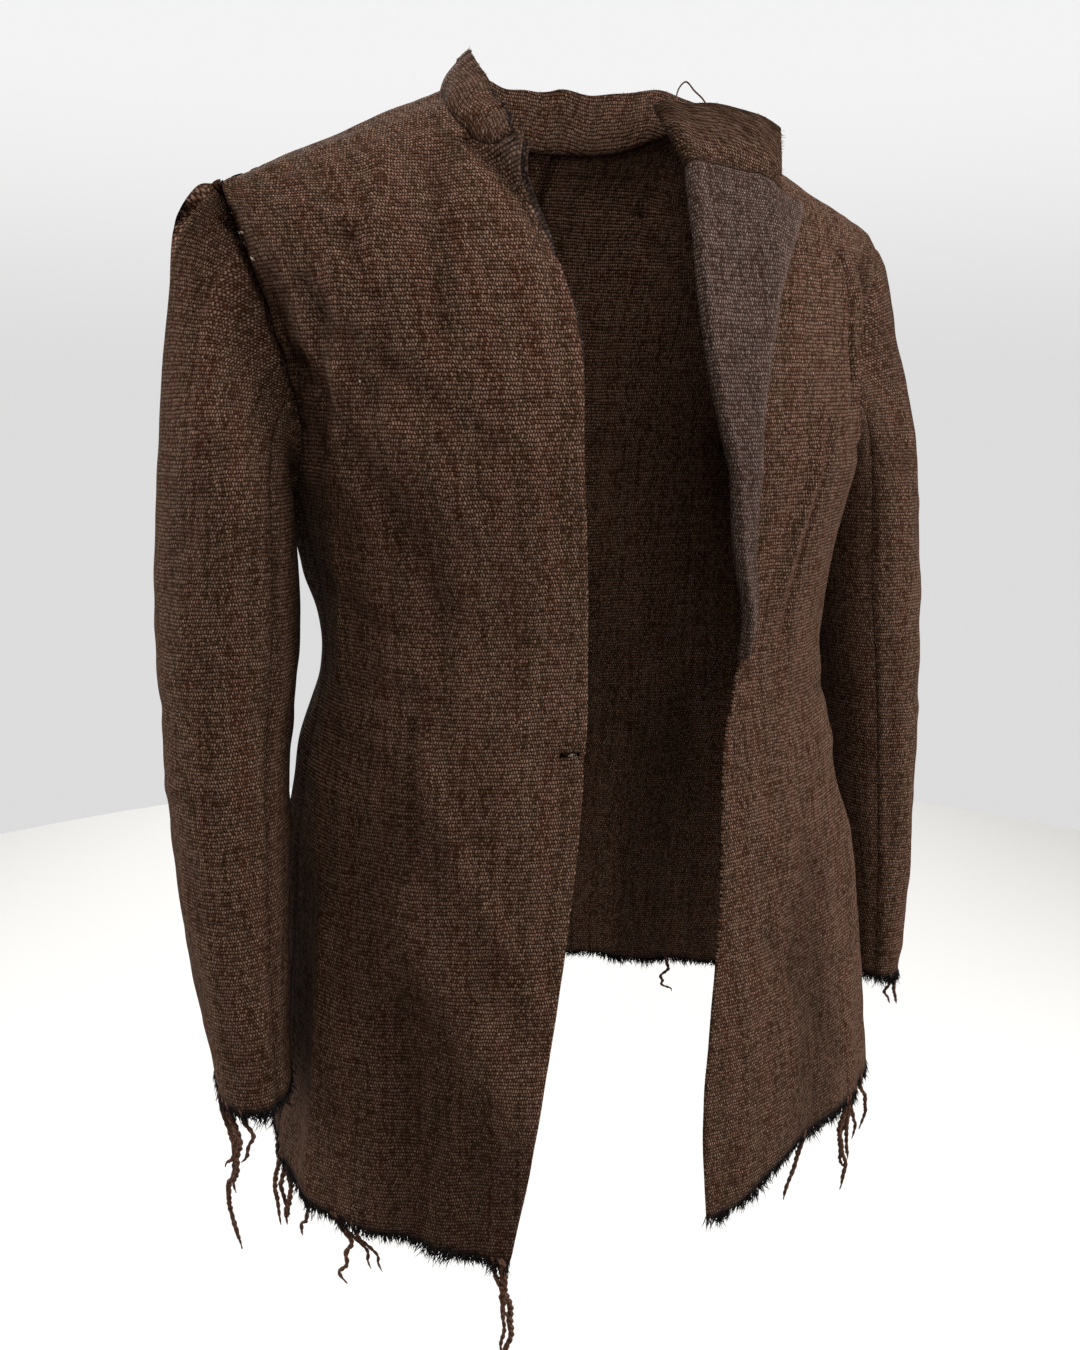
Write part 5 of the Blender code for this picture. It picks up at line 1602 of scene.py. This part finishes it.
def wool(name, red, olive, pale, relief):
    """Dashes and ribs laid like bricks on the UV map's lengths, coloured by bars, dashes and mottling."""
    material, shader, paint = new_material(name, 0.95)
    ground = DARK_GAP
    place = paint.add("ShaderNodeUVMap", {"uv_map": "weave"}).vectors("SCALE", 1 / MM)
    woven = place
    for scale, detail, reach in PULLS:
        woven = woven.vectors("ADD", place.noise(scale, detail, out=1).vectors("SCALE", reach))
    across = woven.add("ShaderNodeSeparateXYZ", None, {0: woven})
    along = Paint(across.tree, across.socket.node.outputs[1])

    def bricks(width, height):
        """Nearness to the middle of a brick each way, and a chance of its own for each brick."""
        rows = along * (1 / height)
        row = rows.maths("FLOOR", rows)
        columns = across * (1 / width) + row * 0.5
        column = columns.maths("FLOOR", columns)
        in_row = rows.maths("COSINE", (rows - row - 0.5) * math.pi)
        in_column = columns.maths("COSINE", (columns - column - 0.5) * math.pi)
        cell = row.add("ShaderNodeCombineXYZ", None, {0: column, 1: row})
        chance = cell.add("ShaderNodeTexWhiteNoise", {"noise_dimensions": "2D"}, {"Vector": cell})
        return in_row, in_column, chance

    dash_row, dash_column, dash_chance = bricks(DASH_WIDTH, DASH_HEIGHT)
    rib_row, pit_column, pit_chance = bricks(PIT, RIB)
    fibre = woven.noise(0.8, 3.0, 0.7)
    dash = dash_row ** 0.5 * dash_column ** 2.0
    pit = (1 - rib_row) ** 1.3 * pit_column ** 0.8 * (0.35 + 0.65 * pit_chance)
    height = rib_row ** 0.7 * 0.7 + dash * (0.3 + 0.4 * dash_chance) + fibre * 0.5 - pit * 0.5

    def streaks(across_scale, along_scale):
        """Noise drawn out into lines, 0 to 1 about 0.5."""
        return woven.vectors("MULTIPLY", (across_scale, along_scale, 0)).noise(1.0, 1.0)

    warp_lines, weft_lines, sway = (streaks(*scales) for scales in STREAKS)
    bars = across * (2 * math.pi / BAR_PERIOD)
    bar = bars.maths("SINE", bars + sway * 4.0)
    tone = mix((bar * 0.5 + 0.5).between(0.15, 0.85), red, olive)
    lines = warp_lines.between(0.25, 0.75) * 0.6 + weft_lines.between(0.3, 0.7) * 0.4
    weave = (0.25 + 0.75 * dash_column) * (0.6 + 0.4 * dash_row) * (0.5 + fibre)
    colour = mix(weave.between(0.05, 0.75), ground, tone)
    colour = mix(pit.between(0.15, 0.75) * 0.85, colour, ground)
    fleck = (dash_chance * 0.75 + lines * 0.45 + fibre * 0.3 - PLAIN_SHARE).between(0.0, 1.0)
    colour = mix(fleck * dash * 0.95, colour, pale)
    # These marks darken the raw edges towards near black, paint shade into the seam valleys, fold depths,
    # inner arms, the facing's edge and the collar, give the turned corner its greyer tone and make the
    # lapel's outer edge paler.
    shades = (
        ("hem", 0.85, HEM_TONE), ("seam", 0.5, ground), ("turned", 0.45, TURNED_TONE),
        ("painted_shade", 0.48, ground), ("pale_edge", 0.25, pale),
    )
    for word, share, shade in shades:
        mark = place.add("ShaderNodeAttribute", {"attribute_name": word}, None, out=2)
        colour = mix(mark * share, colour, shade)
    feed(colour, shader, "Base Color")
    feed(height.bump(relief, WOOL_BUMP), shader, "Normal")
    return material


WOOL = wool("jacket_wool", (0.030, 0.0108, 0.0044), (0.0245, 0.0114, 0.0043), (0.172, 0.105, 0.075), 1.0)
FACED = wool("facing_wool", (0.025, 0.0125, 0.0088), (0.0225, 0.0130, 0.0085), (0.130, 0.092, 0.080), 0.8)
print("materials:", WOOL.name, FACED.name)

# %% [markdown]
# ## Threads and fray
#
# The warp ends are nearly black and dull. The locks are brown yarn with lighter specks, and the fuzz on them
# is the same yarn. One noise mixes two tones in each of them.

# %% Thread materials
def thread(name, dark, light, scale):
    """Yarn: a fine noise mixes two tones."""
    material, shader, paint = new_material(name, 0.9)
    fleck = paint.add("ShaderNodeTexCoord", None, None, out=3).noise(scale, 3.0)
    feed(mix(fleck.between(0.35, 0.68), dark, light), shader, "Base Color")
    feed(fleck.bump(0.5, YARN_BUMP), shader, "Normal")
    return material


BLACK_WARP = thread("black_warp", (0.0030, 0.0026, 0.0026), (0.011, 0.009, 0.009), 700)
BROWN_YARN = thread("brown_yarn", (0.022, 0.010, 0.007), (0.095, 0.050, 0.033), 900)
SHORT_WOOL = thread("short_wool", (0.020, 0.010, 0.007), (0.090, 0.054, 0.038), 500)
PALE_YARN = thread("pale_yarn", (0.16, 0.12, 0.09), (0.42, 0.35, 0.29), 900)
EDGE_YARN = thread("edge_yarn", (0.032, 0.018, 0.012), (0.095, 0.060, 0.044), 900)
print("threads:", BLACK_WARP.name, BROWN_YARN.name, SHORT_WOOL.name)

# %% [markdown]
# ## Dressing the frame
#
# Each piece rides the jacket's one body, stands for its solid and takes one of the materials above.

# %% Riding and replacing
FACED_PIECES = ("facing_right", "lapel_left")


for name, piece in PIECES.items():
    fringe = "fringe" in name
    material = BLACK_WARP if fringe else FACED if name in FACED_PIECES else WOOL
    piece.data.materials.append(material)
    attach(piece, "root")
    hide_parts(name)
for piece in LOCK_PIECES.values():
    piece.data.materials.append(BROWN_YARN)
    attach(piece, "root")
LOOSE_PIECES = (
    (EDGE_HAIRS, SHORT_WOOL), (LOOSE_YARNS, BROWN_YARN), (TORN_ENDS, BLACK_WARP), (PALE_THREADS, PALE_YARN),
    (EDGE_THREADS, EDGE_YARN), (SLIT_ENDS, BLACK_WARP),
)
for piece, material in LOOSE_PIECES:
    piece.data.materials.append(material)
    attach(piece, "root")

# %% [markdown]
# ## Floor, light and camera
#
# The wearer holds the jacket up, so it hangs in the air and a plain pale floor lies where the wearer would
# stand. The light is soft: a pale sky that is dim and warm in front, a window lamp on each side, one far
# behind, and two small lamps above. The camera stands where the photograph was taken from, a little above
# the waist, looking down.

# %% Floor and lights
FLOOR_Z = -1.42
FLOOR_RADIUS = 2.7
FLOOR_CORNERS = 96
FLOOR_TONE = (0.44, 0.44, 0.435, 1.0)
FRONT_TINT = (1.0, 0.85, 0.72)


def floor():
    """A disc of one pale tone."""
    angle = np.linspace(0, 2 * np.pi, FLOOR_CORNERS + 1)[:-1]
    points = np.stack([np.cos(angle), np.sin(angle), 0 * angle], -1) * FLOOR_RADIUS + (0, 0, FLOOR_Z)
    mesh = bpy.data.meshes.new("floor")
    mesh.from_pydata(points.tolist(), [], [tuple(range(FLOOR_CORNERS))])
    disc = bpy.data.objects.new("floor", mesh)
    bpy.context.collection.objects.link(disc)
    material, shader, _ = new_material("pale_floor", 0.9)
    shader.inputs["Base Color"].default_value = FLOOR_TONE
    mesh.materials.append(material)


def lamp(name, place, target, size, power):
    """A square area light that faces a target."""
    data = bpy.data.lights.new(name, "AREA")
    data.size, data.energy = size, power
    light = bpy.data.objects.new(name, data)
    light.location = place
    light.rotation_euler = (Vector(target) - Vector(place)).to_track_quat("-Z", "Y").to_euler()
    bpy.context.collection.objects.link(light)


def sky(front, horizon, high):
    """A world that is dim and warm in front of the jacket, pale behind it and a little brighter overhead."""
    world = bpy.data.worlds.new("studio")
    world.use_nodes = True
    paint = Paint(world.node_tree)
    way = paint.add("ShaderNodeTexCoord")
    way = way.add("ShaderNodeSeparateXYZ", None, {0: way}, out=1)
    up = Paint(way.tree, way.socket.node.outputs[2])
    behind = up.between(0.0, 0.25) * (high - horizon) + horizon - front
    background = world.node_tree.nodes["Background"]
    back = way.between(-0.3, 0.6)
    feed(mix(back, FRONT_TINT, (1.0, 1.0, 1.0)), background, "Color")
    feed(back * behind + front, background, "Strength")
    bpy.context.scene.world = world


floor()
sky(0.34, 0.72, 0.90)
CHEST = (-0.05, -0.10, -0.15)
BODY = (0.05, 0.0, -0.42)
lamp("top_front", (-0.25, -0.85, 0.75), CHEST, 0.6, 17)
lamp("left_window", (1.80, -1.10, 0.05), BODY, 1.2, 84)
lamp("right_window", (-2.20, 0.60, 0.10), BODY, 1.2, 62)
lamp("back_window", (0.60, 3.00, 1.30), BODY, 1.5, 150)
lamp("ceiling", (0.10, 0.10, 1.10), CHEST, 0.9, 17)
bpy.context.scene.view_settings.view_transform = "Standard"

# %% Camera
AZIMUTH = math.radians(23.04)
DISTANCE = 0.7976
CAMERA_Z = -0.1876
YAW = math.radians(-2.03)
PITCH = math.radians(-14.27)
FOCAL_PIXELS = 1107.2
PICTURE_HEIGHT = 1350
SENSOR = 36.0


def camera():
    """Aim: forward from heading and pitch, with the picture's sides upright."""
    data = bpy.data.cameras.new("camera")
    data.sensor_width = SENSOR
    data.lens = FOCAL_PIXELS / PICTURE_HEIGHT * SENSOR
    data.clip_start = 0.01
    eye = bpy.data.objects.new("camera", data)
    eye.location = (-math.sin(AZIMUTH) * DISTANCE, -math.cos(AZIMUTH) * DISTANCE, CAMERA_Z)
    heading = AZIMUTH + YAW
    sine, cosine = math.sin(heading), math.cos(heading)
    forward = Vector((sine * math.cos(PITCH), cosine * math.cos(PITCH), math.sin(PITCH)))
    right = Vector((cosine, -sine, 0))
    up = right.cross(forward)
    eye.rotation_euler = Matrix((right, up, -forward)).transposed().to_euler()
    bpy.context.collection.objects.link(eye)
    bpy.context.scene.camera = eye


camera()
print("lens", round(bpy.context.scene.camera.data.lens, 2), "mm")

# %% [markdown]
#
# Last, the scene is brought up to date.

# %% Update
bpy.context.view_layer.update()
